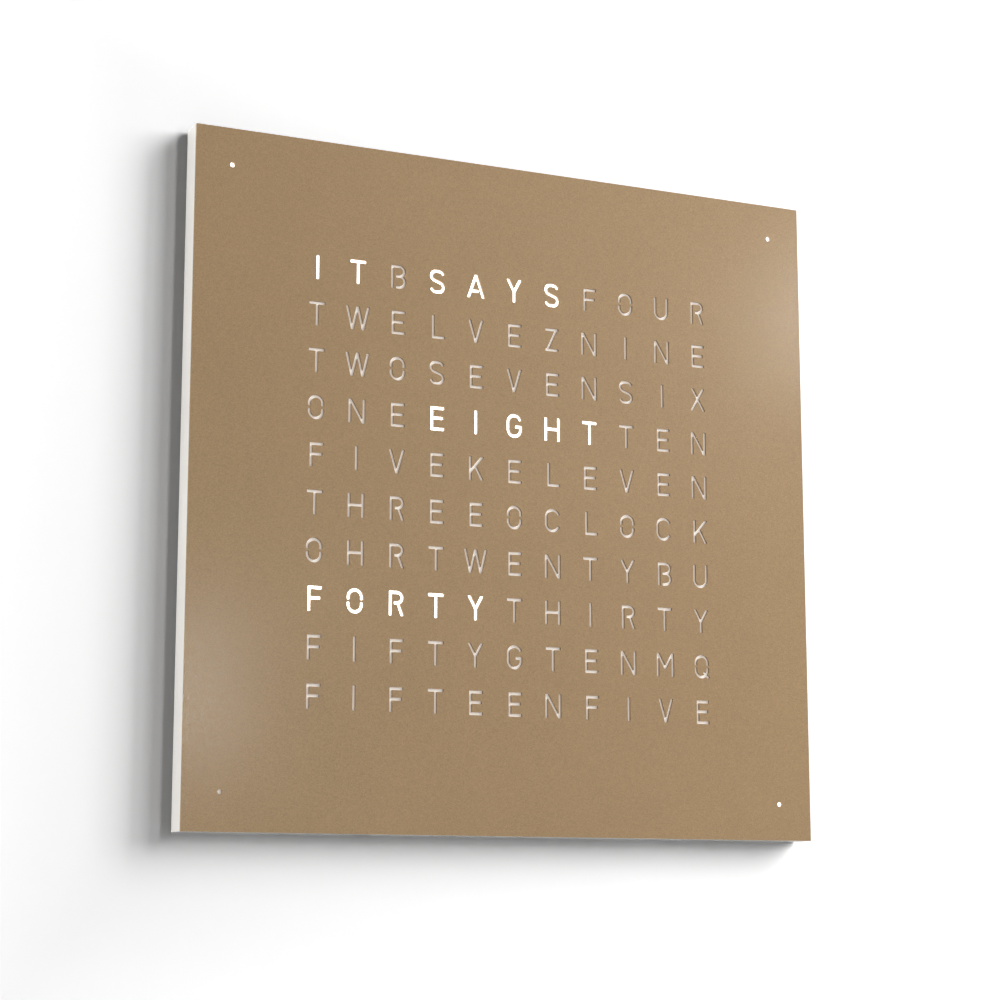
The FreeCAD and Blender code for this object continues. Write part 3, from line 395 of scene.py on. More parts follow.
@dataclass(frozen=True)
class BoardMask(Finish):
    """Solder mask with copper tracks showing through as paler lines."""

    gloss_change: float = 0.05
    track_pitch: float = 1.27 * MM
    track_share: float = 0.28
    track_height: float = 0.03 * MM
    track_colour: Colour = (0.05, 0.26, 0.10)
    track_show: float = 0.6
    block_size: float = 9 * MM
    upright_above: float = 0.5
    bare_below: float = 0.22

    def surface(self, graph: Graph, place: Any, fine: bpy.types.Node, slow: bpy.types.Node) -> Look:
        """Draws upright tracks in some blocks and level ones in others, and leaves the rest bare.

        Args:
            graph: the material's tree.
            place: position on the piece.
            fine: the finish's own effect.
            slow: the mottle over it.

        Returns:
            Sockets for colour, roughness and normal.
        """
        axes = graph.node("ShaderNodeSeparateXYZ", {0: place}).outputs
        blocks = self.effect_node(graph, Effect.CELLS, place, slow.outputs["Colour"], self.block_size, 0.0)
        block = blocks.outputs["Tone"]
        upright = self._lines(graph, axes["X"])
        level = self._lines(graph, axes["Z"])
        way = graph.math("GREATER_THAN", block, self.upright_above)
        picked = graph.math("ADD", graph.math("MULTIPLY", upright, way),
                            graph.math("MULTIPLY", level, graph.math("SUBTRACT", 1.0, way)))
        track = graph.math("MULTIPLY", picked, graph.math("GREATER_THAN", block, self.bare_below))
        shown = graph.math("MULTIPLY", track, self.track_show)
        colour = graph.mixed(shown, slow.outputs["Colour"], rgba(self.track_colour))
        normal = graph.bump(track, self.track_height)
        return colour, self.gloss(graph, slow.outputs["Tone"]), normal

    def _lines(self, graph: Graph, coordinate: Any) -> bpy.types.NodeSocket:
        """Returns 1 on the tracks that run across a coordinate, and 0 between them."""
        turns = graph.math("FRACT", graph.math("DIVIDE", coordinate, self.track_pitch))
        return graph.math("LESS_THAN", turns, self.track_share)


@dataclass(frozen=True)
class Glow(Finish):
    """A surface that gives light."""

    light: Colour = (1.0, 1.0, 1.0)
    strength: float = 1.0

    def extend(self, shader: bpy.types.Node) -> None:
        """Sets the emission on the shader's own sockets."""
        shader.inputs["Emission Color"].default_value = rgba(self.light)
        shader.inputs["Emission Strength"].default_value = self.strength


class Finishes:
    """All finishes of the clock, each built when it is first used."""

    COVER = PowderCoat("cover_coat", (0.402, 0.268, 0.140), roughness=0.175, size=0.4 * MM, contrast=0.03,
                       relief=0.012 * MM, gloss_change=0.08, mottle=0.015, mottle_size=60 * MM)
    LACQUER = Lacquer("white_lacquer", (0.80, 0.775, 0.735), roughness=0.42, size=0.8 * MM, contrast=0.012,
                      relief=0.01 * MM, mottle=0.01, mottle_size=50 * MM)
    PIN = BrushedMetal("pin_steel", (0.58, 0.58, 0.57), roughness=0.32, size=0.3 * MM, contrast=0.08)
    MAGNET = Finish("magnet_nickel", (0.66, 0.64, 0.60), roughness=0.18, metallic=1.0, size=0.9 * MM,
                    relief=0.004 * MM)
    # Painted light: the unlit opal cells glow faintly, though no lamp behind them is on.
    OPAL = Glow("opal_plastic", (0.80, 0.76, 0.71), roughness=0.55, size=0.6 * MM, contrast=0.02,
                light=(1.0, 0.92, 0.84), strength=0.33)
    OPAL_LIT = Glow("opal_lit", (0.9, 0.88, 0.85), roughness=0.55, size=0.6 * MM, contrast=0.02,
                    light=(1.0, 0.985, 0.96), strength=4.0)
    PLASTIC = Finish("white_plastic", (0.78, 0.78, 0.76), roughness=0.48, size=0.4 * MM, contrast=0.03)
    LAMP_BODY = Finish("led_body", (0.84, 0.83, 0.80), roughness=0.4, size=0.3 * MM, contrast=0.03)
    LAMP = Glow("led_lamp", (0.80, 0.66, 0.22), roughness=0.3, size=0.3 * MM, contrast=0.06,
                light=(1.0, 0.82, 0.3), strength=0.0)
    LAMP_LIT = Glow("led_lamp_lit", (0.9, 0.85, 0.6), roughness=0.3, size=0.3 * MM, contrast=0.06,
                    light=(1.0, 0.97, 0.88), strength=20.0)
    BOARD = BoardMask("board_green", (0.016, 0.105, 0.042), roughness=0.34, contrast=0.04, coat=0.3)
    BLACK = Finish("black_plastic", (0.018, 0.018, 0.02), size=0.25 * MM, contrast=0.18)
    PANEL = Finish("panel_steel", (0.70, 0.70, 0.68), roughness=0.46, size=0.9 * MM, contrast=0.02,
                   mottle=0.02)
    SCREW = BrushedMetal("screw_steel", (0.52, 0.52, 0.53), roughness=0.3, size=0.2 * MM, contrast=0.1)
    PLATE = BrushedMetal("plate_steel", (0.56, 0.57, 0.58), roughness=0.38, size=0.35 * MM, contrast=0.1,
                         mottle=0.08)
    CAN = BrushedMetal("can_aluminium", (0.76, 0.77, 0.78), roughness=0.28, size=0.25 * MM, contrast=0.06)
    BRASS = BrushedMetal("pin_brass", (0.72, 0.53, 0.24), roughness=0.24, size=0.2 * MM, contrast=0.08)
    FERRITE = Finish("ferrite_grey", (0.05, 0.05, 0.055), roughness=0.55, contrast=0.2, relief=0.03 * MM)
    COPPER = Finish("copper_wire", (0.62, 0.27, 0.12), roughness=0.3, metallic=0.9, contrast=0.1, coat=0.4)
    LEAD = Finish("lead_grey", (0.22, 0.22, 0.23), roughness=0.52, size=0.4 * MM, contrast=0.08)
    BUTTON = Finish("button_white", (0.74, 0.725, 0.69), roughness=0.4, contrast=0.02)

    def __init__(self) -> None:
        """Starts with no material built."""
        self.built: dict[str, bpy.types.Material] = {}

    def of(self, finish: Finish) -> bpy.types.Material:
        """Looks up a finish's material, and builds it the first time.

        Args:
            finish: the finish.

        Returns:
            Its material.
        """
        if finish.slot not in self.built:
            self.built[finish.slot] = finish.build()
        return self.built[finish.slot]


@dataclass
class Workshop:
    """What every sub-assembly needs to build and dress its pieces."""

    finishes: Finishes = field(default_factory=Finishes)

    def dress(self, finish: Finish, *nodes: str) -> None:
        """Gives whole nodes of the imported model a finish.

        Args:
            finish: the finish to put on.
            nodes: names of nodes.
        """
        material = self.finishes.of(finish)
        for name in nodes:
            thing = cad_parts[name]
            slots = thing.material_slots
            if not slots:
                thing.data.materials.append(material)
            for slot in slots:
                slot.material = material
            LOG.info("%s: %s", name, finish.slot)

    def piece(self, name: str, mesh: bpy.types.Mesh, body: str, slot: str,
              finishes: Iterable[Finish] = (), replaces: Iterable[str] = ()) -> bpy.types.Object:
        """Adds a piece that rides on a body.

        Args:
            name: the piece's name.
            mesh: its mesh, in the model's frame.
            body: the body that it rides on.
            slot: the record's material slot that it stands for; not used.
            finishes: materials to append, in the order of the mesh's indices.
            replaces: nodes that it stands in for.

        Returns:
            The new object.
        """
        for finish in finishes:
            mesh.materials.append(self.finishes.of(finish))
        mesh.name = name
        thing = bpy.data.objects.new(name, mesh)
        bpy.context.scene.collection.objects.link(thing)
        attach(thing, body)
        if replaces:
            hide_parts(*replaces)
        LOG.info("%s: %d faces on %s", name, len(mesh.polygons), body)
        return thing


class Recipe:
    """A Geometry Nodes tree that grows a plain mesh and is then put away."""

    KINDS = {int: "NodeSocketInt", float: "NodeSocketFloat"}

    def __init__(self, name: str, sizes: dict[str, float]) -> None:
        """Makes the tree with one named input for each size.

        Args:
            name: the tree's name.
            sizes: names and values of its inputs; whole numbers become integer inputs.
        """
        self.name = name
        self.sizes = sizes
        self.tree = bpy.data.node_groups.new(name, "GeometryNodeTree")
        face = self.tree.interface
        face.new_socket("Geometry", in_out="INPUT", socket_type="NodeSocketGeometry")
        self.keys: dict[str, str] = {}
        for label, value in sizes.items():
            socket = face.new_socket(label, in_out="INPUT", socket_type=self.KINDS[type(value)])
            self.keys[label] = socket.identifier
        face.new_socket("Geometry", in_out="OUTPUT", socket_type="NodeSocketGeometry")
        self.graph = Graph(self.tree)
        self.given = self.graph.node("NodeGroupInput").outputs

    def painted(self, geometry: Any, material: bpy.types.Material) -> Any:
        """Gives a geometry its material."""
        made = self.graph.node("GeometryNodeSetMaterial", {"Geometry": geometry, "Material": material})
        return made.outputs[0]

    def joined(self, *parts: Any) -> Any:
        """Joins geometries into one.

        Args:
            parts: the geometries' sockets.

        Returns:
            The joined geometry's socket.
        """
        made = self.graph.node("GeometryNodeJoinGeometry")
        for part in parts:
            self.tree.links.new(part, made.inputs[0])
        return made.outputs[0]

    def moved(self, geometry: Any, offset: Any, turn: Point = (0.0, 0.0, 0.0)) -> Any:
        """Turns and then shifts a geometry."""
        inputs = {"Geometry": geometry, "Translation": offset, "Rotation": turn}
        return self.graph.node("GeometryNodeTransform", inputs).outputs[0]

    def triple(self, x: Any, y: Any, z: Any) -> Any:
        """Joins three numbers into a vector."""
        return self.graph.node("ShaderNodeCombineXYZ", {0: x, 1: y, 2: z}).outputs[0]

    def block(self, width: Any, height: Any, thickness: Any) -> Any:
        """Makes a block about the origin."""
        size = self.triple(width, thickness, height)
        return self.graph.node("GeometryNodeMeshCube", {"Size": size}).outputs[0]

    def set_on_points(self, points: Any, seed: Any) -> Any:
        """Puts a seed geometry on every point."""
        made = self.graph.node("GeometryNodeInstanceOnPoints", {"Points": points, "Instance": seed})
        return made.outputs[0]

    def grow(self, result: Any, points: Iterable[Vector] = ()) -> bpy.types.Mesh:
        """Runs the tree.

        Args:
            result: the geometry socket to keep.
            points: points of the starting mesh, for trees that use them.

        Returns:
            The realized mesh.
        """
        real = self.graph.node("GeometryNodeRealizeInstances", {0: result}).outputs[0]
        self.graph.node("NodeGroupOutput", {"Geometry": real})
        start = bpy.data.meshes.new(self.name)
        start.from_pydata([tuple(point) for point in points], [], [])
        helper = bpy.data.objects.new(self.name, start)
        bpy.context.scene.collection.objects.link(helper)
        modifier = helper.modifiers.new(self.name, "NODES")
        modifier.node_group = self.tree
        for label, value in self.sizes.items():
            modifier[self.keys[label]] = value
        graph = bpy.context.evaluated_depsgraph_get()
        mesh = bpy.data.meshes.new_from_object(helper.evaluated_get(graph), preserve_all_data_layers=True,
                                               depsgraph=graph)
        helper.modifiers.remove(modifier)
        bpy.data.objects.remove(helper)
        LOG.info("%s grown: %d faces", self.name, len(mesh.polygons))
        return mesh


@dataclass(frozen=True)
class Dial:
    """Rows and columns of letters, the corner dots, and what is lit at the time shown."""

    columns: int = 11
    rows: int = 10
    column_pitch: float = 28.2 * MM
    row_pitch: float = 31.0 * MM
    minute_at: float = 200.5 * MM
    minute_half: float = 2.6 * MM
    lit: tuple[tuple[int, tuple[int, ...]], ...] = (
        (0, (0, 1, 3, 4, 5, 6)),
        (3, (3, 4, 5, 6, 7)),
        (7, (0, 1, 2, 3, 4)),
    )
    lit_corners: tuple[tuple[int, int], ...] = ((-1, 1), (1, 1), (1, -1))

    def column_x(self, column: float) -> float:
        """X of a column's middle."""
        return (column - (self.columns - 1) / 2) * self.column_pitch

    def row_z(self, row: float) -> float:
        """Z of a row's middle."""
        return ((self.rows - 1) / 2 - row) * self.row_pitch

    def cells(self) -> Iterator[Spot]:
        """Goes through the letters' cells, row by row.

        Returns:
            The x and z of each cell's middle and whether it is lit.
        """
        lit = dict(self.lit)
        for row in range(self.rows):
            for column in range(self.columns):
                yield self.column_x(column), self.row_z(row), column in lit.get(row, ())

    def corners(self) -> Iterator[Spot]:
        """Goes through the corner dots.

        Returns:
            The x and z of each dot and whether it is lit.
        """
        for across in (-1, 1):
            for up in (-1, 1):
                yield across * self.minute_at, up * self.minute_at, (across, up) in self.lit_corners

    def is_lit(self, x: float, z: float) -> bool:
        """Says whether a point of the dial has a lit lamp behind it.

        Args:
            x: the point's x.
            z: the point's z.

        Returns:
            True where it is in a lit cell or at a lit corner dot.
        """
        spots = [(*spot, self.minute_half, self.minute_half) for spot in self.corners()]
        spots += [(*spot, self.column_pitch / 2, self.row_pitch / 2) for spot in self.cells()]
        return any(on and abs(x - spot_x) < half_x and abs(z - spot_z) < half_z
                   for spot_x, spot_z, on, half_x, half_z in spots)


DIAL = Dial()


@dataclass
class Cover:
    """The coated steel sheet with its letters, and the pins on its back."""

    shop: Workshop

    def build(self) -> None:
        """Dresses the sheet and its pins."""
        self.shop.dress(Finishes.COVER, "front_cover")
        self.shop.dress(Finishes.PIN, "locating_pins")


@dataclass
class Diffuser:
    """The opal sheet behind the letters, bright where a lamp is lit, with a faint painted glow in the unlit
    cells.
    """

    shop: Workshop
    node: str = "diffuser_sheet"

    def build(self) -> None:
        """Makes the sheet with one face for each cell and replaces the plain one."""
        low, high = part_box(self.node)
        mesh = self.mesh(low, high)
        # Unlit cells take the painted glow of OPAL, lit cells the lamp light of OPAL_LIT.
        self.shop.piece("diffuser_cells", mesh, "housing", "opal_plastic",
                        (Finishes.OPAL, Finishes.OPAL_LIT), (self.node,))

    def lines(self, low: float, high: float, edges: Iterable[float]) -> list[float]:
        """Works out the sheet's division lines along one axis.

        Args:
            low: the sheet's lower edge.
            high: its upper edge.
            edges: the edges of the letters' cells.

        Returns:
            The lines from low to high, with those around the corner dots.
        """
        at, half = DIAL.minute_at, DIAL.minute_half
        inner = [-at - half, -at + half, at - half, at + half, *edges]
        return [low, *sorted(inner), high]

    def mesh(self, low: Vector, high: Vector) -> bpy.types.Mesh:
        """Builds the divided sheet.

        Args:
            low: lowest corner of the sheet.
            high: highest corner.

        Returns:
            A closed mesh whose lit faces have material 1.
        """
        xs = self.lines(low.x, high.x, (DIAL.column_x(k - 0.5) for k in range(DIAL.columns + 1)))
        zs = self.lines(low.z, high.z, (DIAL.row_z(k - 0.5) for k in range(DIAL.rows + 1)))
        shape = bmesh.new()
        grid = [[[shape.verts.new((x, y, z)) for z in zs] for x in xs] for y in (low.y, high.y)]
        front, back = grid
        last_x, last_z = len(xs) - 1, len(zs) - 1
        for i in range(last_x):
            for j in range(last_z):
                ring = [(i, j), (i + 1, j), (i + 1, j + 1), (i, j + 1)]
                lit = DIAL.is_lit((xs[i] + xs[i + 1]) / 2, (zs[j] + zs[j + 1]) / 2)
                shape.faces.new([front[a][b] for a, b in ring]).material_index = int(lit)
                shape.faces.new([back[a][b] for a, b in reversed(ring)])
        rim = [(i, 0) for i in range(last_x)]
        rim += [(last_x, j) for j in range(last_z)]
        rim += [(i, last_z) for i in range(last_x, 0, -1)]
        rim += [(0, j) for j in range(last_z, 0, -1)]
        for (a, b), (c, d) in zip(rim, rim[1:] + rim[:1]):
            shape.faces.new([front[c][d], front[a][b], back[a][b], back[c][d]])
        bmesh.ops.recalc_face_normals(shape, faces=shape.faces[:])
        mesh = bpy.data.meshes.new("diffuser_cells")
        shape.to_mesh(mesh)
        shape.free()
        return mesh


@dataclass
class LampArray:
    """Small square lamps in rows: a pale body with a round window."""

    shop: Workshop
    body_size: Point = (3.5 * MM, 2.8 * MM, 1.9 * MM)
    window_share: float = 0.8
    window_sides: int = 16
    window_thick: float = 0.04 * MM

    def build(self) -> None:
        """Grows the letter lamps and the corner lamps in place of the plain blocks."""
        board_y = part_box("led_board")[0].y
        for kind, spots in (("letter", list(DIAL.cells())), ("minute", list(DIAL.corners()))):
            for state, wanted in (("lit", True), ("dark", False)):
                points = [Vector((x, board_y, z)) for x, z, on in spots if on == wanted]
                replaced = (f"{kind}_leds",) if wanted else ()
                self.grow_set(f"{kind}_lamps_{state}", points, wanted, replaced)

    def grow_set(self, name: str, points: list[Vector], lit: bool, replaced: tuple[str, ...]) -> None:
        """Grows the lamps that share one state.

        Args:
            name: name of the new piece.
            points: where each lamp stands on its board.
            lit: whether their windows give light.
            replaced: nodes that the piece stands for.
        """
        width, height, depth = self.body_size
        sizes = {"Width": width, "Height": height, "Depth": depth, "Window": self.window_share}
        recipe = Recipe(name, sizes)
        given, graph = recipe.given, recipe.graph
        middle = graph.math("MULTIPLY", given["Depth"], -0.5)
        body = recipe.moved(recipe.block(given["Width"], given["Height"], given["Depth"]),
                            recipe.triple(0.0, middle, 0.0))
        radius = graph.math("MULTIPLY", graph.math("MULTIPLY", given["Height"], 0.5), given["Window"])
        disc = graph.node("GeometryNodeMeshCylinder", {
            "Vertices": self.window_sides, "Radius": radius, "Depth": self.window_thick,
        })
        front = graph.math("MULTIPLY", given["Depth"], -1.0)
        window = recipe.moved(disc.outputs[0], recipe.triple(0.0, front, 0.0), (math.pi / 2, 0.0, 0.0))
        window_finish = Finishes.LAMP_LIT if lit else Finishes.LAMP
        seed = recipe.joined(
            recipe.painted(body, self.shop.finishes.of(Finishes.LAMP_BODY)),
            recipe.painted(window, self.shop.finishes.of(window_finish)),
        )
        mesh = recipe.grow(recipe.set_on_points(given["Geometry"], seed), points)
        self.shop.piece(name, mesh, "housing", "led_lamp", (), replaced)


@dataclass
class LightUnit:
    """The grid of wells, the light board and what is soldered to it."""

    shop: Workshop
    resistor: Point = (1.6 * MM, 0.8 * MM, 0.5 * MM)
    resistor_offset: Pair = (6.0 * MM, -5.0 * MM)
    end_share: float = 0.2
    end_height: float = 1.04
    end_thickness: float = 1.06

    def build(self) -> None:
        """Dresses the carried-over nodes and grows the rest."""
        self.shop.dress(Finishes.PLASTIC, "light_grid", "ribbon_connectors", "lead_connectors")
        self.shop.dress(Finishes.BOARD, "led_board")
        self.shop.dress(Finishes.BLACK, "light_sensor", "led_driver_chips")
        self.shop.dress(Finishes.LEAD, "ribbon_cable")
        self.shop.dress(Finishes.LAMP_BODY, "letter_leds", "minute_leds")
        LampArray(self.shop).build()
        self.resistors()

    def resistors(self) -> None:
        """Grows one small resistor beside each lamp, with metal ends a little larger than its body."""
        low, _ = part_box("led_board")
        width, height, thick = self.resistor
        recipe = Recipe("lamp_resistors", {
            "Columns": DIAL.columns,
            "Rows": DIAL.rows,
            "Column pitch": DIAL.column_pitch,
            "Row pitch": DIAL.row_pitch,
            "Width": width,
            "Height": height,
            "Thickness": thick,
        })
        given, graph = recipe.given, recipe.graph
        span_x = graph.math("MULTIPLY", given["Column pitch"], graph.math("SUBTRACT", given["Columns"], 1.0))
        span_z = graph.math("MULTIPLY", given["Row pitch"], graph.math("SUBTRACT", given["Rows"], 1.0))
        grid = graph.node("GeometryNodeMeshGrid", {
            "Size X": span_x, "Size Y": span_z, "Vertices X": given["Columns"], "Vertices Y": given["Rows"],
        }).outputs[0]
        shift_x, shift_z = self.resistor_offset
        places = recipe.moved(grid, (shift_x, low.y - thick / 2, shift_z), (math.pi / 2, 0.0, 0.0))
        body = recipe.painted(recipe.block(given["Width"], given["Height"], given["Thickness"]),
                              self.shop.finishes.of(Finishes.BLACK))
        end_width = graph.math("MULTIPLY", given["Width"], self.end_share)
        end_height = graph.math("MULTIPLY", given["Height"], self.end_height)
        end_thickness = graph.math("MULTIPLY", given["Thickness"], self.end_thickness)
        ends = []
        for side in (-0.5, 0.5):
            offset = recipe.triple(graph.math("MULTIPLY", given["Width"], side), 0.0, 0.0)
            end = recipe.moved(recipe.block(end_width, end_height, end_thickness), offset)
            ends.append(recipe.painted(end, self.shop.finishes.of(Finishes.CAN)))
        mesh = recipe.grow(recipe.set_on_points(places, recipe.joined(body, *ends)))
        self.shop.piece("lamp_resistors", mesh, "housing", "black_plastic")


@dataclass
class Housing:
    """The lacquered frame, its magnets, the rear panel and the hangers."""

    shop: Workshop

    def build(self) -> None:
        """Dresses every node of the housing."""
        self.shop.dress(Finishes.LACQUER, "housing_frame")
        self.shop.dress(Finishes.MAGNET, "cover_magnets")
        self.shop.dress(Finishes.PANEL, "rear_panel")
        self.shop.dress(Finishes.PLATE, "hanger_plate_left", "hanger_plate_right", "hanger_rivets")
        self.shop.dress(Finishes.SCREW, "rear_panel_screws", "board_screws")
        self.shop.dress(Finishes.PIN, "board_standoffs")
        self.shop.dress(Finishes.PLASTIC, "lead_clips")


@dataclass
class ControlUnit:
    """The control board with its parts, the power socket, the buttons and the corner lights."""

    shop: Workshop

    def build(self) -> None:
        """Dresses every node of the unit."""
        shop = self.shop
        shop.dress(Finishes.BOARD, "controller_board", "button_board", "receiver_board")
        shop.dress(Finishes.BLACK, "microcontroller", "voltage_regulator", "power_jack", "coin_cell_holder")
        shop.dress(Finishes.MAGNET, "clock_crystal", "coin_cell")
        shop.dress(Finishes.CAN, "capacitors")
        shop.dress(Finishes.BRASS, "power_jack_pin")
        shop.dress(Finishes.LEAD, "receiver_lead", "button_lead", "minute_leads")
        for number in range(1, 5):
            shop.dress(Finishes.BUTTON, f"button_cap_{number}")
            shop.dress(Finishes.BRASS, f"switch_plunger_{number}")
            shop.dress(Finishes.BLACK, f"tact_switch_{number}")
        for corner in ("top_left", "top_right", "bottom_left", "bottom_right"):
            shop.dress(Finishes.BOARD, "minute_board_" + corner)
            shop.dress(Finishes.PLASTIC, "minute_tube_" + corner)


@dataclass
class TimeReceiver:
    """The ferrite rod with its wound coil, which picks up the time signal."""

    shop: Workshop
    wire: float = 0.5 * MM
    wire_sides: int = 6
    steps_per_turn: int = 24

    def build(self) -> None:
        """Dresses the rod and winds the coil."""
        self.shop.dress(Finishes.FERRITE, "ferrite_rod")
        self.shop.dress(Finishes.PLASTIC, "antenna_clips")
        self.shop.dress(Finishes.COPPER, "antenna_lead", "antenna_coil")
        self.winding()

    def winding(self) -> None:
        """Winds one layer of wire on the coil's sleeve, as one helix."""
        low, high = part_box("antenna_coil")
        radius = (high.z - low.z) / 2 - self.wire / 2
        length = high.x - low.x - self.wire
        recipe = Recipe("coil_winding", {
            "Turns": length / self.wire, "Radius": radius, "Length": length, "Wire radius": self.wire / 2,
            "Wire sides": self.wire_sides,
        })
        given, graph = recipe.given, recipe.graph
        helix = graph.node("GeometryNodeCurveSpiral", {
            "Resolution": self.steps_per_turn, "Rotations": given["Turns"], "Start Radius": given["Radius"],
            "End Radius": given["Radius"], "Height": given["Length"],
        }).outputs[0]
        profile = graph.node("GeometryNodeCurvePrimitiveCircle", {
            "Resolution": given["Wire sides"], "Radius": given["Wire radius"],
        }).outputs[0]
        tube = graph.node("GeometryNodeCurveToMesh", {
            "Curve": helix, "Profile Curve": profile, "Fill Caps": True,
        }).outputs[0]
        middle = (low + high) / 2
        start = (middle.x - length / 2, middle.y, middle.z)
        wound = recipe.moved(tube, start, (0.0, math.pi / 2, 0.0))
        mesh = recipe.grow(recipe.painted(wound, self.shop.finishes.of(Finishes.COPPER)))
        self.shop.piece("coil_winding", mesh, "housing", "copper_wire")


@dataclass(frozen=True)
class SoftLamp:
    """One area lamp that the camera doesn't see.

    Attributes:
        name: its name.
        place: where it hangs.
        target: the point that it faces.
        size: its width and height.
        power: watts.
        shine: whether it shows in glossy surfaces.
    """

    name: str
    place: Point
    target: Point
    size: Pair
    power: float
    shine: bool = True

    def build(self) -> None:
        """Hangs the lamp."""
        data = bpy.data.lights.new(self.name, "AREA")
        data.shape = "RECTANGLE"
        data.size, data.size_y = self.size
        data.energy = self.power
        lamp = bpy.data.objects.new(self.name, data)
        lamp.location = self.place
        aim = Vector(self.target) - Vector(self.place)
        lamp.rotation_euler = aim.to_track_quat("-Z", "Y").to_euler()
        lamp.visible_camera = False
        lamp.visible_glossy = self.shine
        bpy.context.scene.collection.objects.link(lamp)


def seen_directly(graph: Graph) -> bpy.types.NodeSocket:
    """Tells apart the rays that show a surface from those that carry its light.

    Args:
        graph: the material's or the world's tree.

    Returns:
        A socket with 1 for rays from the camera and for reflected or refracted ones.
    """
    path = graph.node("ShaderNodeLightPath").outputs
    mirrored = graph.math("MAXIMUM", path["Is Glossy Ray"], path["Is Transmission Ray"])
    return graph.math("MAXIMUM", path["Is Camera Ray"], mirrored)


@dataclass(frozen=True)
class StagePaint:
    """White paint that the camera sees brighter and that is clear from behind.

    Attributes:
        name: the material's name.
        plain: its grey for light that bounces on.
        shown_near: its grey for the camera beside the clock, kept lower as painted shade around the clock.
        shown_far: its grey for the camera far from the clock, raised as painted light far out.
        open_behind: whether lamps behind it shine through.
        shade_from: distance from the middle where the grey starts to change.
        shade_to: distance from the middle where it has changed.
    """

    name: str
    plain: float
    shown_near: float
    shown_far: float
    open_behind: bool = False
    shade_from: float = 0.265
    shade_to: float = 0.40

    def build(self) -> bpy.types.Material:
        """Makes the material.

        Returns:
            The material, with the paint's name.
        """
        material = bpy.data.materials.new(self.name)
        material.use_nodes = True
        material.node_tree.nodes.clear()
        graph = Graph(material.node_tree)
        place = graph.node("ShaderNodeTexCoord").outputs["Object"]
        axes = graph.node("ShaderNodeSeparateXYZ", {0: place}).outputs
        # Painted shade and light: the camera sees the wall darker beside the clock and brighter far from it.
        away = graph.math("MAXIMUM", graph.math("ABSOLUTE", axes["X"]), graph.math("ABSOLUTE", axes["Z"]))
        change = graph.ranged(away, 0.0, 1.0, self.shade_from, self.shade_to)
        shown = graph.mixed(change, grey(self.shown_near), grey(self.shown_far))
        tone = graph.mixed(seen_directly(graph), grey(self.plain), shown)
        paint = graph.node("ShaderNodeBsdfDiffuse", {"Color": tone}).outputs[0]
        clear = graph.node("ShaderNodeBsdfTransparent").outputs[0]
        hidden = graph.node("ShaderNodeNewGeometry").outputs["Backfacing"]
        if self.open_behind:
            shadow = graph.node("ShaderNodeLightPath").outputs["Is Shadow Ray"]
            hidden = graph.math("MAXIMUM", hidden, shadow)
        mix = graph.node("ShaderNodeMixShader", {0: hidden, 1: paint, 2: clear})
        graph.node("ShaderNodeOutputMaterial", {"Surface": mix.outputs[0]})
        return material


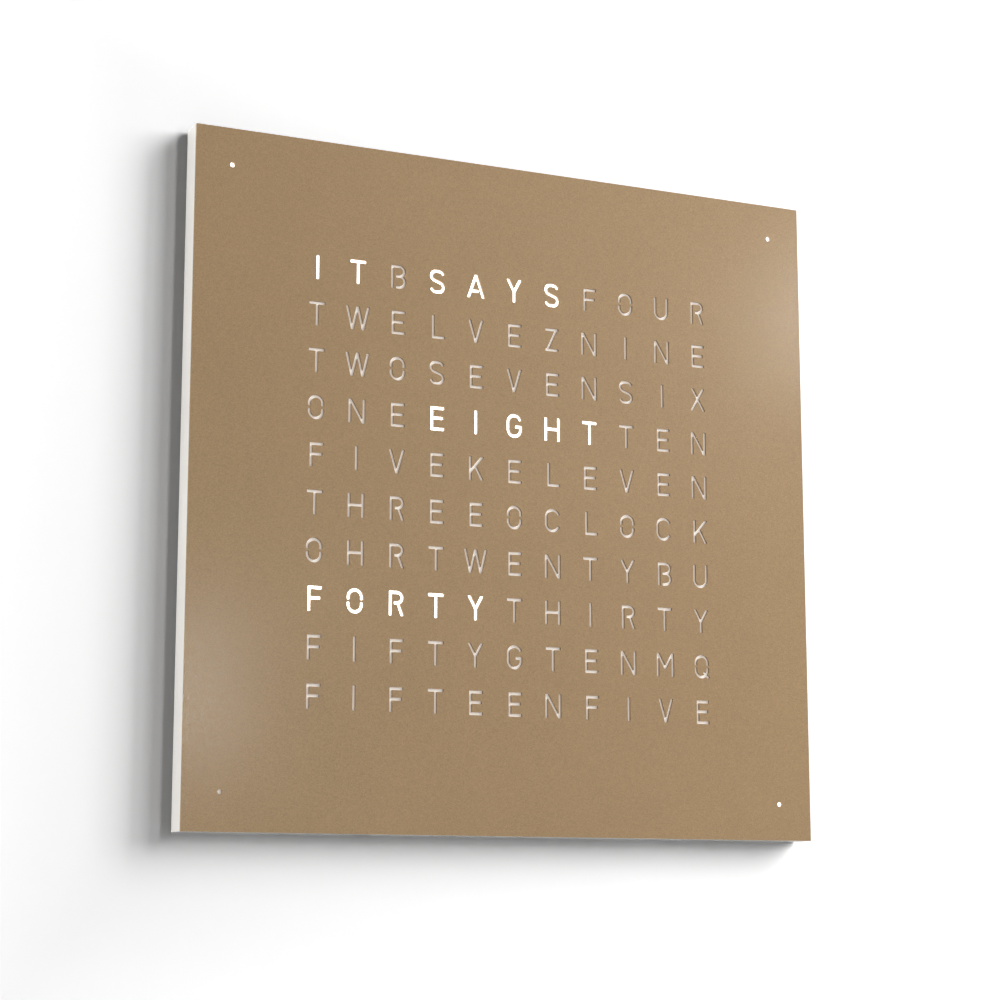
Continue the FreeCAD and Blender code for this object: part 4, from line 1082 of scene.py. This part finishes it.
@dataclass
class Studio:
    """The wall, the floor and the lamps."""

    wall_gap: float = 1.5 * MM
    wall_half: float = 4.0
    floor_z: float = -0.75
    world_plain: float = 0.04
    world_seen: float = 0.6
    # The wall shows darker beside the clock and brighter far out: painted shade and light.
    wall_paint: StagePaint = StagePaint("wall_paint", 0.80, 1.24, 1.55, open_behind=True)
    floor_paint: StagePaint = StagePaint("floor_paint", 0.30, 1.1, 1.1)

    # Softboxes and the strip light the clock, glints show in its gloss, and the rear lamp lights its back.
    LAMPS = (
        SoftLamp("near_softbox", (1.58, -2.2, 1.31), (1.58, 0.0, 1.31), (1.03, 2.06), 31.0, shine=False),
        SoftLamp("far_softbox", (3.84, -2.08, 2.08), (3.84, 0.0, 2.08), (3.4, 3.6), 380.0, shine=False),
        SoftLamp("front_softbox", (0.3, -1.6, 0.1), (0.0, 0.0, 0.0), (0.2, 0.4), 3.2, shine=False),
        SoftLamp("side_strip", (-2.4, -0.035, 0.0), (0.0, -0.035, 0.0), (0.05, 1.0), 40.0, shine=False),
        SoftLamp("right_glint", (1.27, -1.6, 0.63), (0.2, 0.0, 0.1), (0.10, 0.20), 0.8),
        SoftLamp("left_glint", (0.27, -1.6, 0.02), (-0.2, 0.0, -0.1), (0.08, 0.20), 0.55),
        SoftLamp("rear_lamp", (0.0, 1.0, 0.0), (0.0, 0.0, 0.0), (0.42, 0.42), 6.0),
    )

    def build(self) -> None:
        """Sets up the stage and the light."""
        self.world()
        y, h, z = self.wall_gap, self.wall_half, self.floor_z
        self.plane("wall", [(-h, y, -h), (h, y, -h), (h, y, h), (-h, y, h)], self.wall_paint)
        self.plane("floor", [(-h, -h, z), (h, -h, z), (h, h, z), (-h, h, z)], self.floor_paint)
        for lamp in self.LAMPS:
            lamp.build()

    def world(self) -> None:
        """Makes the even light around the stage, which shows brighter than it shines."""
        world = bpy.data.worlds.new("studio")
        bpy.context.scene.world = world
        world.use_nodes = True
        world.node_tree.nodes.clear()
        graph = Graph(world.node_tree)
        colour = graph.mixed(seen_directly(graph), grey(self.world_plain), grey(self.world_seen))
        shader = graph.node("ShaderNodeBackground", {"Color": colour, "Strength": 1.0})
        graph.node("ShaderNodeOutputWorld", {"Surface": shader.outputs[0]})

    def plane(self, name: str, corners: list[Point], paint: StagePaint) -> None:
        """Adds a one-sided stage plane.

        Args:
            name: its name.
            corners: its corners, anticlockwise as seen from its good side.
            paint: its paint.
        """
        mesh = bpy.data.meshes.new(name)
        mesh.from_pydata(corners, [], [(0, 1, 2, 3)])
        mesh.materials.append(paint.build())
        thing = bpy.data.objects.new(name, mesh)
        bpy.context.scene.collection.objects.link(thing)


@dataclass(frozen=True)
class PhotoCamera:
    """The camera, solved from the corners of the clock's front."""

    place: Point = (-0.65741, -1.40863, -0.27600)
    forward: Point = (0.41548, 0.89272, 0.17440)
    right: Point = (0.90664, -0.42191, -0.0002)
    lens: float = 84.65
    sensor: float = 36.0
    clip: Pair = (0.01, 50.0)

    def build(self) -> None:
        """Places the camera and makes it the scene's own."""
        ahead = Vector(self.forward).normalized()
        side = (Vector(self.right) - ahead * ahead.dot(Vector(self.right))).normalized()
        up = side.cross(ahead)
        turn = Matrix((side, up, -ahead)).transposed()
        data = bpy.data.cameras.new("photo_camera")
        data.lens = self.lens
        data.sensor_width = self.sensor
        data.clip_start, data.clip_end = self.clip
        camera = bpy.data.objects.new("photo_camera", data)
        camera.matrix_world = Matrix.Translation(Vector(self.place)) @ turn.to_4x4()
        bpy.context.scene.collection.objects.link(camera)
        bpy.context.scene.camera = camera


def main() -> None:
    """Builds the clock piece by piece, then its light and camera."""
    logging.basicConfig(level=logging.INFO, format="%(name)s %(message)s")
    bpy.context.scene.view_settings.view_transform = "Standard"
    shop = Workshop()
    for part in (Cover, Diffuser, LightUnit, Housing, ControlUnit, TimeReceiver):
        part(shop).build()
    Studio().build()
    PhotoCamera().build()


if __name__ == "__main__":
    main()
